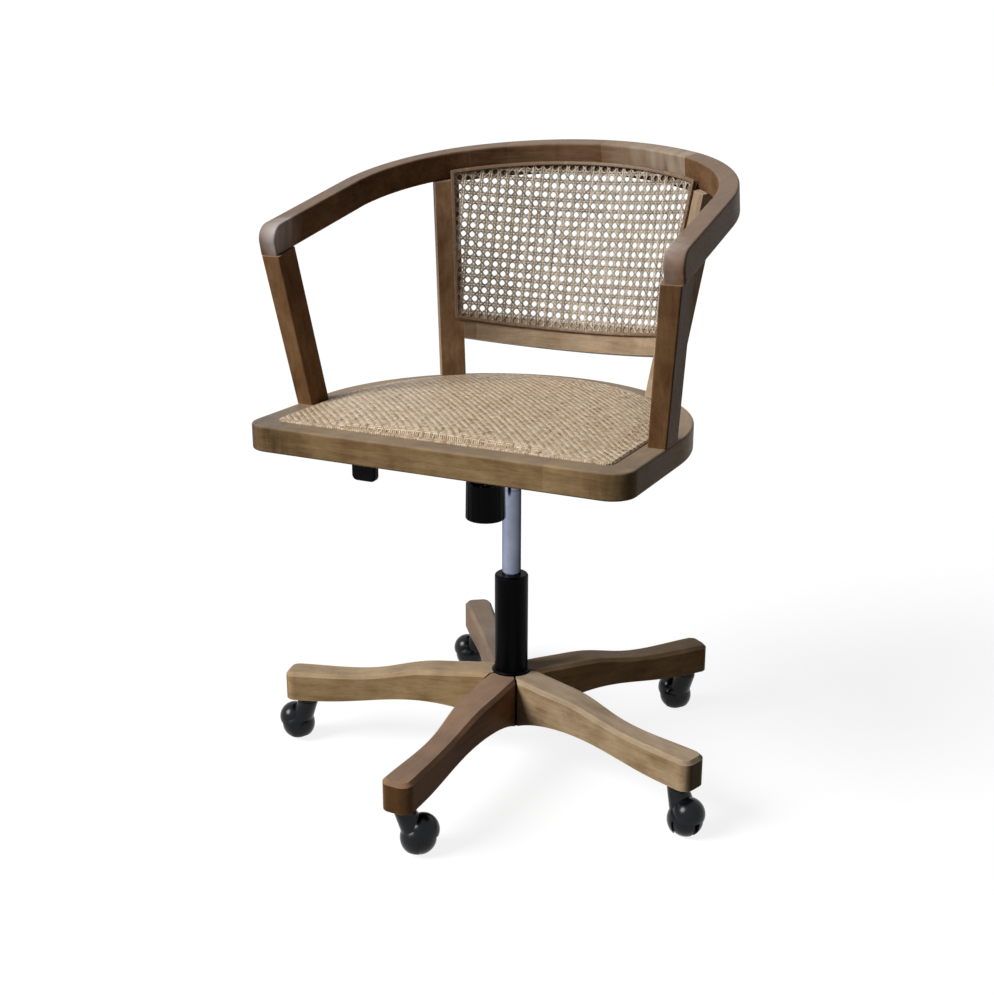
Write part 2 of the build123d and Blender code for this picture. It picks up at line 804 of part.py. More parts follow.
# Height lever: a rod on two trunnions whose finger lies over the gas spring's button
lever_side = Plane(origin=(0, 0, 0), x_dir=(1, 0, 0), z_dir=(0, -1, 0))
paddle_top = paddle_bottom + paddle_height
rod_end = (paddle_inner_x - paddle_rounding / 2, paddle_top - lever_rod)
rod_length = hypot(rod_end[0] - lever_pivot_x, rod_end[1] - lever_pivot_z)
rod_plane = Plane(
    origin=(lever_pivot_x, 0, lever_pivot_z),
    z_dir=(rod_end[0] - lever_pivot_x, 0, rod_end[1] - lever_pivot_z),
)
finger_bottom = button_top + running_gap
with BuildPart() as lever_arm:
    with Locations(rod_plane):
        Cylinder(lever_rod / 2, rod_length, align=LOWER)
    with Locations(Plane(origin=(lever_pivot_x, 0, lever_pivot_z), z_dir=(0, 1, 0))):
        Cylinder(lever_eye / 2, lever_eye_width)
        Cylinder(lever_trunnion / 2, lever_eye_width + 2 * running_gap + 2 * lever_ear)
    with BuildSketch(lever_side):
        with BuildLine():
            Polyline(
                (lever_pivot_x, lever_pivot_z - lever_finger / 2),
                (lever_pivot_x - lever_pivot_x / 3, finger_bottom),
                (button_diameter / 2, finger_bottom),
                (button_diameter / 2, finger_bottom + lever_finger),
                (lever_pivot_x, lever_pivot_z + lever_finger / 2),
                close=True,
            )
        make_face()
    extrude(amount=lever_finger / 2, both=True)
lever_arm.part.label = "lever_arm"
export_step(lever_arm.part, "parts/lever_arm.step")

with BuildPart() as lever_paddle:
    with BuildSketch(lever_side):
        with Locations(((paddle_outer_x + paddle_inner_x) / 2, (paddle_bottom + paddle_top) / 2)):
            RectangleRounded(paddle_inner_x - paddle_outer_x, paddle_height, paddle_rounding)
    extrude(amount=paddle_thickness / 2, both=True)
    fillet(lever_paddle.faces().filter_by(Axis.Y).edges(), paddle_thickness / 4)
    with Locations(rod_plane):
        Cylinder(lever_rod / 2 + seat_gap / 2, rod_length + seat_gap, align=LOWER, mode=Mode.SUBTRACT)
lever_paddle.part.label = "lever_paddle"
export_step(lever_paddle.part, "parts/lever_paddle.step")

# Seat frame: a D-shaped ring with a recess and a ledge for the board
def seat_outline(height, inset, corner):
    """D-shaped plan of the seat at a height, drawn in by an even margin."""
    half = seat_half - inset
    front = seat_front + inset
    with BuildSketch(Plane.XY.offset(height)) as outline:
        with BuildLine():
            Polyline((-half, seat_arc_y), (-half, front), (half, front), (half, seat_arc_y))
            ThreePointArc((half, seat_arc_y), (0, seat_arc_y + half), (-half, seat_arc_y))
        make_face()
        fillet(outline.vertices().group_by(Axis.Y)[0], corner)
    return outline.sketch


def post_foot(side, front):
    """Centre of a post's foot on the seat frame, for the right (1) or left (-1) side."""
    if front:
        x = seat_half - front_post_base_width / 2
        y = front_post_base_front + front_post_base_depth / 2
    else:
        reach = back_radius + rear_foot_tenon
        x = reach * sin(radians(rear_post_angle))
        y = back_axis_y + reach * cos(radians(rear_post_angle))
    return (side * x, y, seat_top)


def post_rise(side, front):
    """Direction in which a post climbs from its foot."""
    if front:
        return Vector(side * front_post_splay, -front_post_lean, 1)
    angle = radians(rear_post_angle)
    return Vector(side * back_slope * sin(angle), back_slope * cos(angle), 1)


def post_head(side, front):
    """Point where a post's upper tenon enters the underside of the arm rail."""
    start = Vector(*post_foot(side, front))
    if not front:
        angle = radians(rear_post_angle)
        start += Vector(side * sin(angle), cos(angle), 0) * (rear_head_tenon - rear_foot_tenon)
    rise = post_rise(side, front)
    normal = rail_under.z_dir
    return start + rise * ((rail_under.origin - start).dot(normal) / rise.dot(normal))


post_places = [(side, front) for side in (1, -1) for front in (True, False)]
with BuildPart() as seat_frame:
    extrude(seat_outline(seat_frame_bottom, 0, seat_corner), amount=seat_frame_height)
    fillet(seat_frame.faces().filter_by(Axis.Z).edges(), seat_edge_round)
    extrude(
        seat_outline(ledge_z, rim_width, pad_corner),
        amount=2 * ledge_depth,
        mode=Mode.SUBTRACT,
    )
    extrude(
        seat_outline(seat_frame_bottom - ledge_depth, rim_width + ledge_width, pad_corner),
        amount=2 * seat_frame_height,
        mode=Mode.SUBTRACT,
    )
    with Locations(*[post_foot(side, front) for side, front in post_places]):
        Cylinder(tenon_diameter / 2 + seat_gap, 2 * (tenon_length + seat_gap), mode=Mode.SUBTRACT)
seat_frame.part.label = "seat_frame"
export_step(seat_frame.part, "parts/seat_frame.step")

with BuildPart() as seat_board:
    extrude(seat_outline(ledge_z, rim_width + seat_gap, pad_corner), amount=board_thickness)
    with Locations(*[(x, y, ledge_z) for x, y, z in plate_screw_places]):
        Cylinder(
            plate_screw_diameter / 2 + seat_gap,
            2 * (plate_screw_bite + seat_gap),
            mode=Mode.SUBTRACT,
        )
seat_board.part.label = "seat_board"
export_step(seat_board.part, "parts/seat_board.step")

# Seat pad: crowned over its whole plan, with a rounded upper edge
pad_height = seat_top + pad_crown - board_top
crown_rise = pad_crown - pad_edge
crown_radius = ((seat_half - rim_width) ** 2 + crown_rise**2) / (2 * crown_rise)
with BuildPart() as seat_pad:
    extrude(seat_outline(board_top + seat_gap, rim_width + running_gap, pad_corner), amount=pad_height)
    with Locations((0, pad_centre_y, seat_top + pad_crown - crown_radius)):
        Sphere(crown_radius, mode=Mode.INTERSECT)
    pad_top = seat_pad.faces().sort_by(Axis.Z)[-1]
    fillet(pad_top.edges(), pad_edge_round)
seat_pad.part.label = "seat_pad"
export_step(seat_pad.part, "parts/seat_pad.step")

# Conical hollow that the sitter's back leans into: it cuts the posts and the rail
cone_low = seat_top - seat_frame_height
cone_high = rail_height_at_axis + rail_arc_radius / 2


def cone_profile(inward, outward, half_angle):
    """Section of a conical layer, on the plane where its sweep to the left begins."""
    turn = radians(half_angle)
    plane = Plane(
        origin=(0, back_axis_y, 0),
        x_dir=(sin(turn), cos(turn), 0),
        z_dir=(cos(turn), -sin(turn), 0),
    )
    with BuildSketch(plane) as profile:
        with BuildLine():
            Polyline(
                (back_radius_at(cone_low) - inward, cone_low),
                (back_radius_at(cone_low) + outward, cone_low),
                (back_radius_at(cone_high) + outward, cone_high),
                (back_radius_at(cone_high) - inward, cone_high),
                close=True,
            )
        make_face()
    return profile.sketch


post_gap = seat_gap / 2
with BuildPart() as back_hollow:
    revolve(cone_profile(back_radius / 2, post_gap, 90), axis=back_axis, revolution_arc=180)
rebate_angle = cane_half_angle + degrees(seat_gap / back_radius)
with BuildPart() as back_rebate:
    revolve(
        cone_profile(back_radius / 2, post_gap, rebate_angle),
        axis=back_axis,
        revolution_arc=2 * rebate_angle,
    )
    split(bisect_by=cane_top_plane, keep=Keep.BOTTOM)


def climbs(edge):
    """Whether an edge runs up a post instead of round its end."""
    return abs(edge.tangent_at(0.5).Z) > sin(pi / 4)


# Front posts lean forwards and outwards, and stand on round tenons
for side, name in ((1, "right"), (-1, "left")):
    foot = Vector(*post_foot(side, True))
    climb = (post_head(side, True).Z - seat_top) * post_overrun
    inner_foot = seat_half - front_post_base_width
    widening = (front_post_top_width - front_post_base_width) / (post_head(side, True).Z - seat_top)
    top_width = front_post_base_width + widening * climb
    top_x = inner_foot + front_post_splay * climb + top_width / 2
    with BuildPart() as front_post:
        with BuildSketch(Plane(origin=foot)):
            Rectangle(front_post_base_width, front_post_base_depth)
        top_place = (side * top_x, foot.Y - front_post_lean * climb, seat_top + climb)
        with BuildSketch(Plane(origin=top_place)):
            Rectangle(top_width, front_post_base_depth)
        loft()
        fillet(front_post.edges().filter_by(climbs), post_edge_round)
        split(bisect_by=rail_under, keep=Keep.BOTTOM)
        with Locations(foot):
            Cylinder(tenon_diameter / 2, tenon_length, align=UPPER)
        with Locations(Plane(origin=post_head(side, True), z_dir=rail_under.z_dir)):
            Cylinder(tenon_diameter / 2, tenon_length, align=LOWER)
    front_post.part.label = f"front_post_{name}"
    export_step(front_post.part, f"parts/front_post_{name}.step")

# Rear posts lean outwards from the back's axis, with the conical back cut into their fronts
for side, name in ((1, "right"), (-1, "left")):
    foot = Vector(*post_foot(side, False))
    rise = post_rise(side, False)
    climb = (post_head(side, False).Z - seat_top) * post_overrun
    turn = radians(rear_post_angle)
    foot_plane = Plane(origin=foot, x_dir=(cos(turn), -side * sin(turn), 0), z_dir=(0, 0, 1))
    with BuildPart() as rear_post:
        with BuildSketch(foot_plane):
            with Locations((0, (rear_post_depth - rear_post_cut) / 2 - rear_foot_tenon)):
                Rectangle(rear_post_width, rear_post_depth + rear_post_cut)
        extrude(amount=climb * rise.length, dir=rise)
        long_edges = rear_post.edges().filter_by(climbs)
        by_reach = long_edges.sort_by(lambda edge: hypot(edge.center().X, edge.center().Y - back_axis_y))
        fillet(by_reach[-2:], post_edge_round)
        add(back_hollow.part, mode=Mode.SUBTRACT)
        split(bisect_by=rail_under, keep=Keep.BOTTOM)
        with Locations(foot):
            Cylinder(tenon_diameter / 2, tenon_length, align=UPPER)
        with Locations(Plane(origin=post_head(side, False), z_dir=rail_under.z_dir)):
            Cylinder(tenon_diameter / 2, tenon_length, align=LOWER)
    rear_post.part.label = f"rear_post_{name}"
    export_step(rear_post.part, f"parts/rear_post_{name}.step")

# Arm rail: one bent outline in three lengths, two arms and the crest between them
toe = radians(rail_toe)
corner_across = rail_half_width * cos(toe) + rail_tip * sin(toe) - rail_corner_radius
corner_offset = corner_across - rail_arc_y * sin(toe)
corner_along = rail_arc_y * cos(toe) + sqrt((rail_arc_radius - rail_corner_radius) ** 2 - corner_offset**2)
corner_centre_x = corner_across * cos(toe) - corner_along * sin(toe)
corner_centre_y = corner_across * sin(toe) + corner_along * cos(toe)
corner_turn = atan2(corner_centre_y - rail_arc_y, corner_centre_x)


def rail_edge(inset):
    """Three stretches of the rail's right-hand edge and half of its rear arc."""
    corner = rail_corner_radius - inset
    arc = rail_arc_radius - inset
    side_end = (corner_centre_x + corner * cos(toe), corner_centre_y + corner * sin(toe))
    half_turn = (toe + corner_turn) / 2
    join = (corner_centre_x + corner * cos(corner_turn), corner_centre_y + corner * sin(corner_turn))
    rear_turn = (corner_turn + pi / 2) / 2
    Line((rail_half_width - inset / cos(toe), rail_tip), side_end)
    ThreePointArc(
        side_end,
        (corner_centre_x + corner * cos(half_turn), corner_centre_y + corner * sin(half_turn)),
        join,
    )
    ThreePointArc(
        join,
        (arc * cos(rear_turn), rail_arc_y + arc * sin(rear_turn)),
        (0, rail_arc_y + arc),
    )


with BuildSketch(rail_plane) as rail_outline:
    with BuildLine():
        rail_edge(0)
        Line((0, rail_arc_y + rail_arc_radius), (0, rail_arc_y + rail_arc_radius - rail_width))
        rail_edge(rail_width)
        Line((rail_half_width - rail_width / cos(toe), rail_tip), (rail_half_width, rail_tip))
    make_face()
    mirror(about=Plane.YZ)

joint_turn = radians(rail_joint_angle)
rail_arc_centre = rail_plane.from_local_coords((0, rail_arc_y, 0))
right_joint = Plane(
    origin=rail_arc_centre,
    x_dir=rail_plane.z_dir,
    z_dir=rail_plane.x_dir * cos(joint_turn) - rail_plane.y_dir * sin(joint_turn),
)
left_joint = Plane(
    origin=rail_arc_centre,
    x_dir=rail_plane.z_dir,
    z_dir=-rail_plane.x_dir * cos(joint_turn) - rail_plane.y_dir * sin(joint_turn),
)


def runs_along(edge):
    """Whether an edge follows the rail instead of crossing it."""
    middle = edge.center()
    outward = Vector(middle.X, middle.Y - rail_arc_y, 0).normalized()
    return abs(edge.tangent_at(0.5).dot(outward)) < sin(pi / 4)


with BuildPart() as crest_rail:
    extrude(rail_outline.sketch, amount=-rail_depth)
    split(bisect_by=right_joint, keep=Keep.BOTTOM)
    split(bisect_by=left_joint, keep=Keep.BOTTOM)
    fillet(crest_rail.faces().filter_by(rail_plane).edges().filter_by(runs_along), rail_edge_round)
    add(back_rebate.part, mode=Mode.SUBTRACT)
crest_rail.part.label = "crest_rail"
export_step(crest_rail.part, "parts/crest_rail.step")

for side, name, joint in ((1, "right", right_joint), (-1, "left", left_joint)):
    with BuildPart() as arm:
        extrude(rail_outline.sketch, amount=-rail_depth)
        split(bisect_by=joint.offset(rail_joint_gap), keep=Keep.TOP)
        tip_face = arm.faces().sort_by(Axis.Y)[0]
        fillet(tip_face.edges().sort_by(Axis.Z)[-1], rail_tip_round)
        fillet(arm.faces().filter_by(rail_plane).edges().filter_by(runs_along), rail_edge_round)
        add(back_rebate.part, mode=Mode.SUBTRACT)
        for front in (True, False):
            with Locations(Plane(origin=post_head(side, front), z_dir=rail_under.z_dir)):
                Cylinder(tenon_diameter / 2 + seat_gap, 2 * (tenon_length + seat_gap), mode=Mode.SUBTRACT)
    arm.part.label = f"arm_{name}"
    export_step(arm.part, f"parts/arm_{name}.step")

# Lower rail between the rear posts, following the conical back
with BuildPart() as lower_rail:
    revolve(
        cone_profile(-post_gap, lower_rail_thickness, rear_post_angle),
        axis=back_axis,
        revolution_arc=2 * rear_post_angle,
    )
    split(bisect_by=cane_bottom_plane.offset(lower_rail_above), keep=Keep.BOTTOM)
    split(bisect_by=cane_bottom_plane.offset(-lower_rail_below), keep=Keep.TOP)
    for side in (1, -1):
        turn = radians(rear_post_angle)
        across = Vector(side * cos(turn), -sin(turn), 0)
        post_side = Vector(0, back_axis_y, 0) - across * (rear_post_width / 2 + post_gap)
        split(bisect_by=Plane(origin=post_side, z_dir=across), keep=Keep.BOTTOM)
lower_rail.part.label = "lower_rail"
export_step(lower_rail.part, "parts/lower_rail.step")

# Cane panel in its rebate, a curved sheet with a grid of openings, and the bead round its edge
bead_back = cane_thickness + post_gap
bead_turn = degrees(bead_width / back_radius_at(cane_bottom_end_z))
field_half_angle = cane_half_angle - bead_turn
with BuildPart() as bead_inside:
    revolve(
        cone_profile(bead_back + 2 * bead_height, bead_back, field_half_angle),
        axis=back_axis,
        revolution_arc=2 * field_half_angle,
    )
    split(bisect_by=cane_top_plane.offset(-post_gap - bead_width), keep=Keep.BOTTOM)
    split(bisect_by=cane_bottom_plane.offset(bead_width), keep=Keep.TOP)

field_low = bead_inside.part.bounding_box().min.Z
field_high = bead_inside.part.bounding_box().max.Z
column_turn = 2 * field_half_angle / cane_columns
row_height = (field_high - field_low) / cane_rows
open_turn = cane_open_share * column_turn
open_height = cane_open_share * row_height
with BuildPart() as cane_openings:
    for column in range(cane_columns):
        start_turn = radians(field_half_angle - column_turn * (column + (1 - cane_open_share) / 2))
        opening_plane = Plane(
            origin=(0, back_axis_y, 0),
            x_dir=(sin(start_turn), cos(start_turn), 0),
            z_dir=(cos(start_turn), -sin(start_turn), 0),
        )
        with BuildSketch(opening_plane):
            for row in range(cane_rows):
                low = field_low + row_height * (row + (1 - cane_open_share) / 2)
                with Locations((back_radius_at(low + open_height / 2), low + open_height / 2)):
                    Rectangle(open_height, open_height)
        revolve(axis=back_axis, revolution_arc=open_turn)
    add(bead_inside.part, mode=Mode.INTERSECT)

with BuildPart() as cane_panel:
    revolve(
        cone_profile(cane_thickness, 0, cane_half_angle),
        axis=back_axis,
        revolution_arc=2 * cane_half_angle,
    )
    split(bisect_by=cane_top_plane.offset(-post_gap), keep=Keep.BOTTOM)
    split(bisect_by=cane_bottom_plane, keep=Keep.TOP)
    add(cane_openings.part, mode=Mode.SUBTRACT)
cane_panel.part.label = "cane_panel"
export_step(cane_panel.part, "parts/cane_panel.step")


def depth_in_back(face):
    """How far a face lies inside the conical back."""
    place = face.position_at(0.5, 0.5)
    return back_radius_at(place.Z) - hypot(place.X, place.Y - back_axis_y)


with BuildPart() as cane_bead:
    revolve(
        cone_profile(bead_back + bead_height, -bead_back, cane_half_angle),
        axis=back_axis,
        revolution_arc=2 * cane_half_angle,
    )
    split(bisect_by=cane_top_plane.offset(-post_gap), keep=Keep.BOTTOM)
    split(bisect_by=cane_bottom_plane, keep=Keep.TOP)
    add(bead_inside.part, mode=Mode.SUBTRACT)
    bead_front = cane_bead.faces().filter_by(GeomType.CONE).sort_by(depth_in_back)[-1]
    fillet(bead_front.edges(), bead_round)
cane_bead.part.label = "cane_bead"
export_step(cane_bead.part, "parts/cane_bead.step")

# Sockets in the leg tips that the casters' stems turn in
stem_radius = stem_diameter / 2
caster_places = [round_place((caster_circle, angle), leg_tip_under) for angle in leg_angles]
with BuildPart() as caster_sockets:
    with Locations(*caster_places):
        Cylinder(socket_flange / 2, socket_flange_thickness, align=UPPER)
        Cylinder(stem_radius + socket_wall, socket_length, align=LOWER)
        Cylinder(stem_radius + running_gap, 4 * socket_length, mode=Mode.SUBTRACT)
caster_sockets.part.label = "caster_sockets"
export_step(caster_sockets.part, "parts/caster_sockets.step")

# Ball casters: each hood turns on its stem, and two half balls roll on one axle inside it
ball_height = sqrt(wheel_radius**2 - (wheel_spacing / 2) ** 2)
brim_height = ball_height + brim_drop
visor_radius = hood_radius - visor_trim
neck_radius = caster_neck_diameter / 2
neck_bottom = neck_top - caster_neck_height
for number, angle in enumerate(leg_angles, start=1):
    heading = Vector(1, 0, 0).rotate(Axis.Z, caster_directions[angle])
    foot = Vector(*round_place((caster_circle, angle), 0))
    swivel = Plane(origin=foot, x_dir=heading, z_dir=(0, 0, 1))
    ball = Plane(
        origin=foot + heading * caster_trail + Vector(0, 0, ball_height),
        x_dir=heading,
        z_dir=heading.cross(Vector(0, 0, 1)),
    )
    visor = foot + heading * (caster_trail + wheel_radius + brim_reach - visor_radius)

    with BuildPart() as wheel_cavity:
        with Locations(ball):
            Sphere(cavity_radius)
            Box(4 * hood_radius, 4 * hood_radius, hood_web, mode=Mode.SUBTRACT)

    with BuildPart() as caster_hood:
        with BuildSketch(swivel.offset(neck_bottom)):
            Circle(neck_radius)
        with BuildSketch(swivel.offset(brim_height + brim_drop)):
            with Locations((caster_trail - brim_drop, 0)):
                Circle(hood_radius - brim_drop - hood_wall)
        loft()
        with Locations(ball):
            Sphere(hood_radius)
        with Locations(visor + Vector(0, 0, ball_height + visor_rise)):
            Sphere(visor_radius)
        with Locations(swivel.offset(neck_bottom)):
            Cylinder(neck_radius, caster_neck_height, align=LOWER)
        for groove in (caster_neck_height / 3, 2 * caster_neck_height / 3):
            with BuildSketch(swivel.offset(neck_bottom + groove)):
                Circle(2 * neck_radius)
                Circle(neck_radius - neck_ring, mode=Mode.SUBTRACT)
            extrude(amount=neck_ring, mode=Mode.SUBTRACT)
        with Locations(swivel.offset(brim_height)):
            with Locations((caster_trail + 2 * hood_radius, 0, 0)):
                Box(4 * hood_radius, 4 * hood_radius, 4 * hood_radius, align=UPPER, mode=Mode.SUBTRACT)
        with Locations(swivel.offset(ball_height - cheek_drop)):
            Box(8 * hood_radius, 8 * hood_radius, 4 * hood_radius, align=UPPER, mode=Mode.SUBTRACT)
        add(wheel_cavity.part, mode=Mode.SUBTRACT)
        with Locations(ball):
            Cylinder(axle_boss / 2, hood_web)
            Cylinder(axle_diameter / 2 + running_gap, 4 * hood_web, mode=Mode.SUBTRACT)
        with Locations(swivel.offset(stem_bottom - seat_gap)):
            Cylinder(stem_radius + seat_gap, 2 * stem_insert, align=LOWER, mode=Mode.SUBTRACT)
    caster_hood.part.label = f"caster_hood_{number}"
    export_step(caster_hood.part, f"parts/caster_hood_{number}.step")

    with BuildPart() as caster_stem:
        with Locations(swivel.offset(stem_bottom)):
            Cylinder(stem_radius, stem_length, align=LOWER)
        chamfer(caster_stem.edges().group_by(Axis.Z)[-1], stem_radius / 4)
    caster_stem.part.label = f"caster_stem_{number}"
    export_step(caster_stem.part, f"parts/caster_stem_{number}.step")

    axle_half = wheel_radius - axle_inset
    with BuildPart() as wheel_axle:
        with Locations(ball):
            Cylinder(axle_diameter / 2, 2 * axle_half)
    wheel_axle.part.label = f"wheel_axle_{number}"
    export_step(wheel_axle.part, f"parts/wheel_axle_{number}.step")

    with BuildPart() as wheels:
        with Locations(ball):
            Sphere(wheel_radius)
            Box(4 * wheel_radius, 4 * wheel_radius, wheel_spacing, mode=Mode.SUBTRACT)
            Cylinder(axle_diameter / 2 + post_gap, 2 * (axle_half + post_gap), mode=Mode.SUBTRACT)
    wheels.part.label = f"wheels_{number}"
    export_step(wheels.part, f"parts/wheels_{number}.step")
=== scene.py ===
"""Looks of the swivel office armchair: stained wood, cane back, woven seat pad, black and chrome metal.

Metres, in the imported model's frame: the chair faces -Y and the origin is on the floor under the column.
"""

from math import atan, ceil, cos, floor, hypot, pi, radians, sin, sqrt, tan

import bpy
import numpy as np
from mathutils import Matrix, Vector
from mathutils.bvhtree import BVHTree


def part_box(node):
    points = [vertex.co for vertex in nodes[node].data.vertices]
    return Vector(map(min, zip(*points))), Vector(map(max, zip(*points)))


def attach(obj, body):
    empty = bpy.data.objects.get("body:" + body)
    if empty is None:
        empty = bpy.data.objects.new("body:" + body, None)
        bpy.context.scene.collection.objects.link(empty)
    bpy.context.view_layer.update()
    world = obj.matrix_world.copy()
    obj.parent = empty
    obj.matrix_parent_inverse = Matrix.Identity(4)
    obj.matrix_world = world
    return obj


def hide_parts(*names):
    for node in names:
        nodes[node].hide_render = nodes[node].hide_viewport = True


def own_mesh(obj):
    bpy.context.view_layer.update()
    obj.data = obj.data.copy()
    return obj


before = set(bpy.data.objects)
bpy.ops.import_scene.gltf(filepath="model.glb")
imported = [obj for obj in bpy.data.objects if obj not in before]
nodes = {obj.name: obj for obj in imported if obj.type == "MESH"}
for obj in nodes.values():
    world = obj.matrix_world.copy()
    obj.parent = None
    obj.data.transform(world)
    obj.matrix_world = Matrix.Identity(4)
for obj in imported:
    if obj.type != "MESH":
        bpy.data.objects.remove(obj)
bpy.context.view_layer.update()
draw = np.random.default_rng(7)

# View
CAMERA_PLACE = (0.85994, -1.75520, 1.02170)
CAMERA_DIP = 17.309
CAMERA_ROUND = 26.735
CAMERA_LENS = 50.667
CAMERA_SENSOR = 36.0

# Light
KEY_ROUND = 40.0
KEY_HEIGHT = 38.0
KEY_STRENGTH = 3.75
KEY_SPREAD = 28.0
SKY_STRENGTH = 0.075
SKY_COLOUR = (0.93, 0.96, 1.0, 1.0)
WHITE = (1.0, 1.0, 1.0, 1.0)
FLOOR_REACH = 60.0
FLOOR_GLOW = 0.86
FLOOR_SHADE = 0.20
FLOOR_BOUNCE = 0.12

# Seat
pad_low, pad_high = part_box("seat_pad")
frame_low, frame_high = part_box("seat_frame")
SEAT_TOP = frame_high.z
PAD_HALF = pad_high.x
PAD_FRONT = pad_low.y
PAD_ARC_Y = pad_high.y - PAD_HALF
PAD_CORNER = 0.012
CUSHION_VOXEL = 0.005
CUSHION_SHRINK = 0.0065
CUSHION_PRESSURE = 4.0
CUSHION_RISE = 0.004
CUSHION_FRAMES = 20
WEAVE_PITCH = 0.0030
WEAVE_WIDTH = 0.0028
WEAVE_STRAY = 0.00015
WEAVE_THICKNESS = 0.0008
WEAVE_SWING = 0.0003
WEAVE_TUCK = 0.003
WEAVE_SHOULDER = 0.0026
WEAVE_INSET = 0.0006
WEAVE_EDGES = (0.0016, 0.0038)
WEAVE_TONE = 0.58
WEAVE_TONE_SPREAD = 0.10
WEAVE_FLOAT_SPREAD = 0.13
EDGE_TONE = 0.5
EDGE_TONE_SPREAD = 0.13
EDGE_CORNER_STEPS = 9
EDGE_ARC_STEPS = 121
STRAND_FLAT = 0.6

# Cane back, on the cone of the solids
# Its top follows a plane 2 mm under the rail's, so that it ends below the bead
BACK_AXIS_Y = -0.095
BACK_RADIUS = 0.278
BACK_SLOPE = 0.214
CANE_HALF_ANGLE = radians(35.0)
CANE_DEPTH = 0.0008
RAIL_TILT = radians(13.1)
CANE_PLANE_Z = 0.842
CANE_TOP_DROP = 0.025
CANE_TOP_TILT = tan(RAIL_TILT)
CANE_TOP_Z = CANE_PLANE_Z - CANE_TOP_DROP / cos(RAIL_TILT)
CANE_BOTTOM_Z = 0.640
CANE_BOTTOM_Y = 0.147
CANE_BOTTOM_SLOPE = 0.32
CANE_PITCH = (0.01342, 0.01398)
CANE_SHIFT = (0.0061, 0.0006)
CANE_THICKNESS = 0.0006
CANE_PAIR = 0.0016
CANE_PAIR_WIDTH = 0.0025
CANE_SLANT_WIDTH = 0.0023
CANE_LEAN = 0.0003
CANE_SWING = 0.0005
CANE_WIDE_MARGIN = 1.4
CANE_TALL_MARGIN = 1.2
CANE_STEPS = 5
CANE_TONE = 0.5
CANE_TONE_SPREAD = 0.2
CANE_TONE_DRIFT = 0.06
REBATE_TOP_WIDTH = 0.017
REBATE_BOTTOM_WIDTH = 0.013
REBATE_DEPTH = 0.0035
REBATE_THICKNESS = 0.002
REBATE_STEPS = 41

# Tension spring
spring_low, spring_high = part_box("tension_spring")
SPRING_WIRE = 0.0045
SPRING_TURNS = 5
SPRING_STEPS = 32
SPRING_SIDES = 12

# Noise along and across the grain of wood, in features per metre, and its share in the tone
FIGURE_SCALE = (12.0, 150.0)
RIPPLE_SCALE = (70.0, 11.0)
FIBRE_SCALE = (45.0, 1200.0)
CLOUD_SCALE = (20.0, 28.0)
PORE_SCALE = (80.0, 2400.0)
BLOTCH_SCALE = (55.0, 9.0)
FIGURE_SHARE = 0.28
FIBRE_SHARE = 0.20
RIPPLE_SHARE = 0.06
CLOUD_SHARE = 0.5

# Noise in other finishes, in features per metre
EDGE_SPOTS = 60.0
STRAND_BLOTCHES = 110.0
STRAND_SPECKS = 420.0
STRAND_FIBRES = 1500.0
LINING_THREADS = 900.0
COATING_CLOUDS = 35.0
METAL_CLOUDS = 25.0
SCRATCH_SCALE = (2600.0, 2600.0, 90.0)

# Depth of fine relief
WOOD_RELIEF = 0.0003
STRAND_RELIEF = 0.0002
LINING_RELIEF = 0.0003
COATING_RELIEF = 0.0002
METAL_RELIEF = 0.0001


# Node materials
def srgb(red, green, blue):
    """Linear colour of an eight-bit screen colour."""
    parts = [value / 255 for value in (red, green, blue)]
    return [part / 12.92 if part <= 0.04045 else ((part + 0.055) / 1.055) ** 2.4 for part in parts] + [1.0]


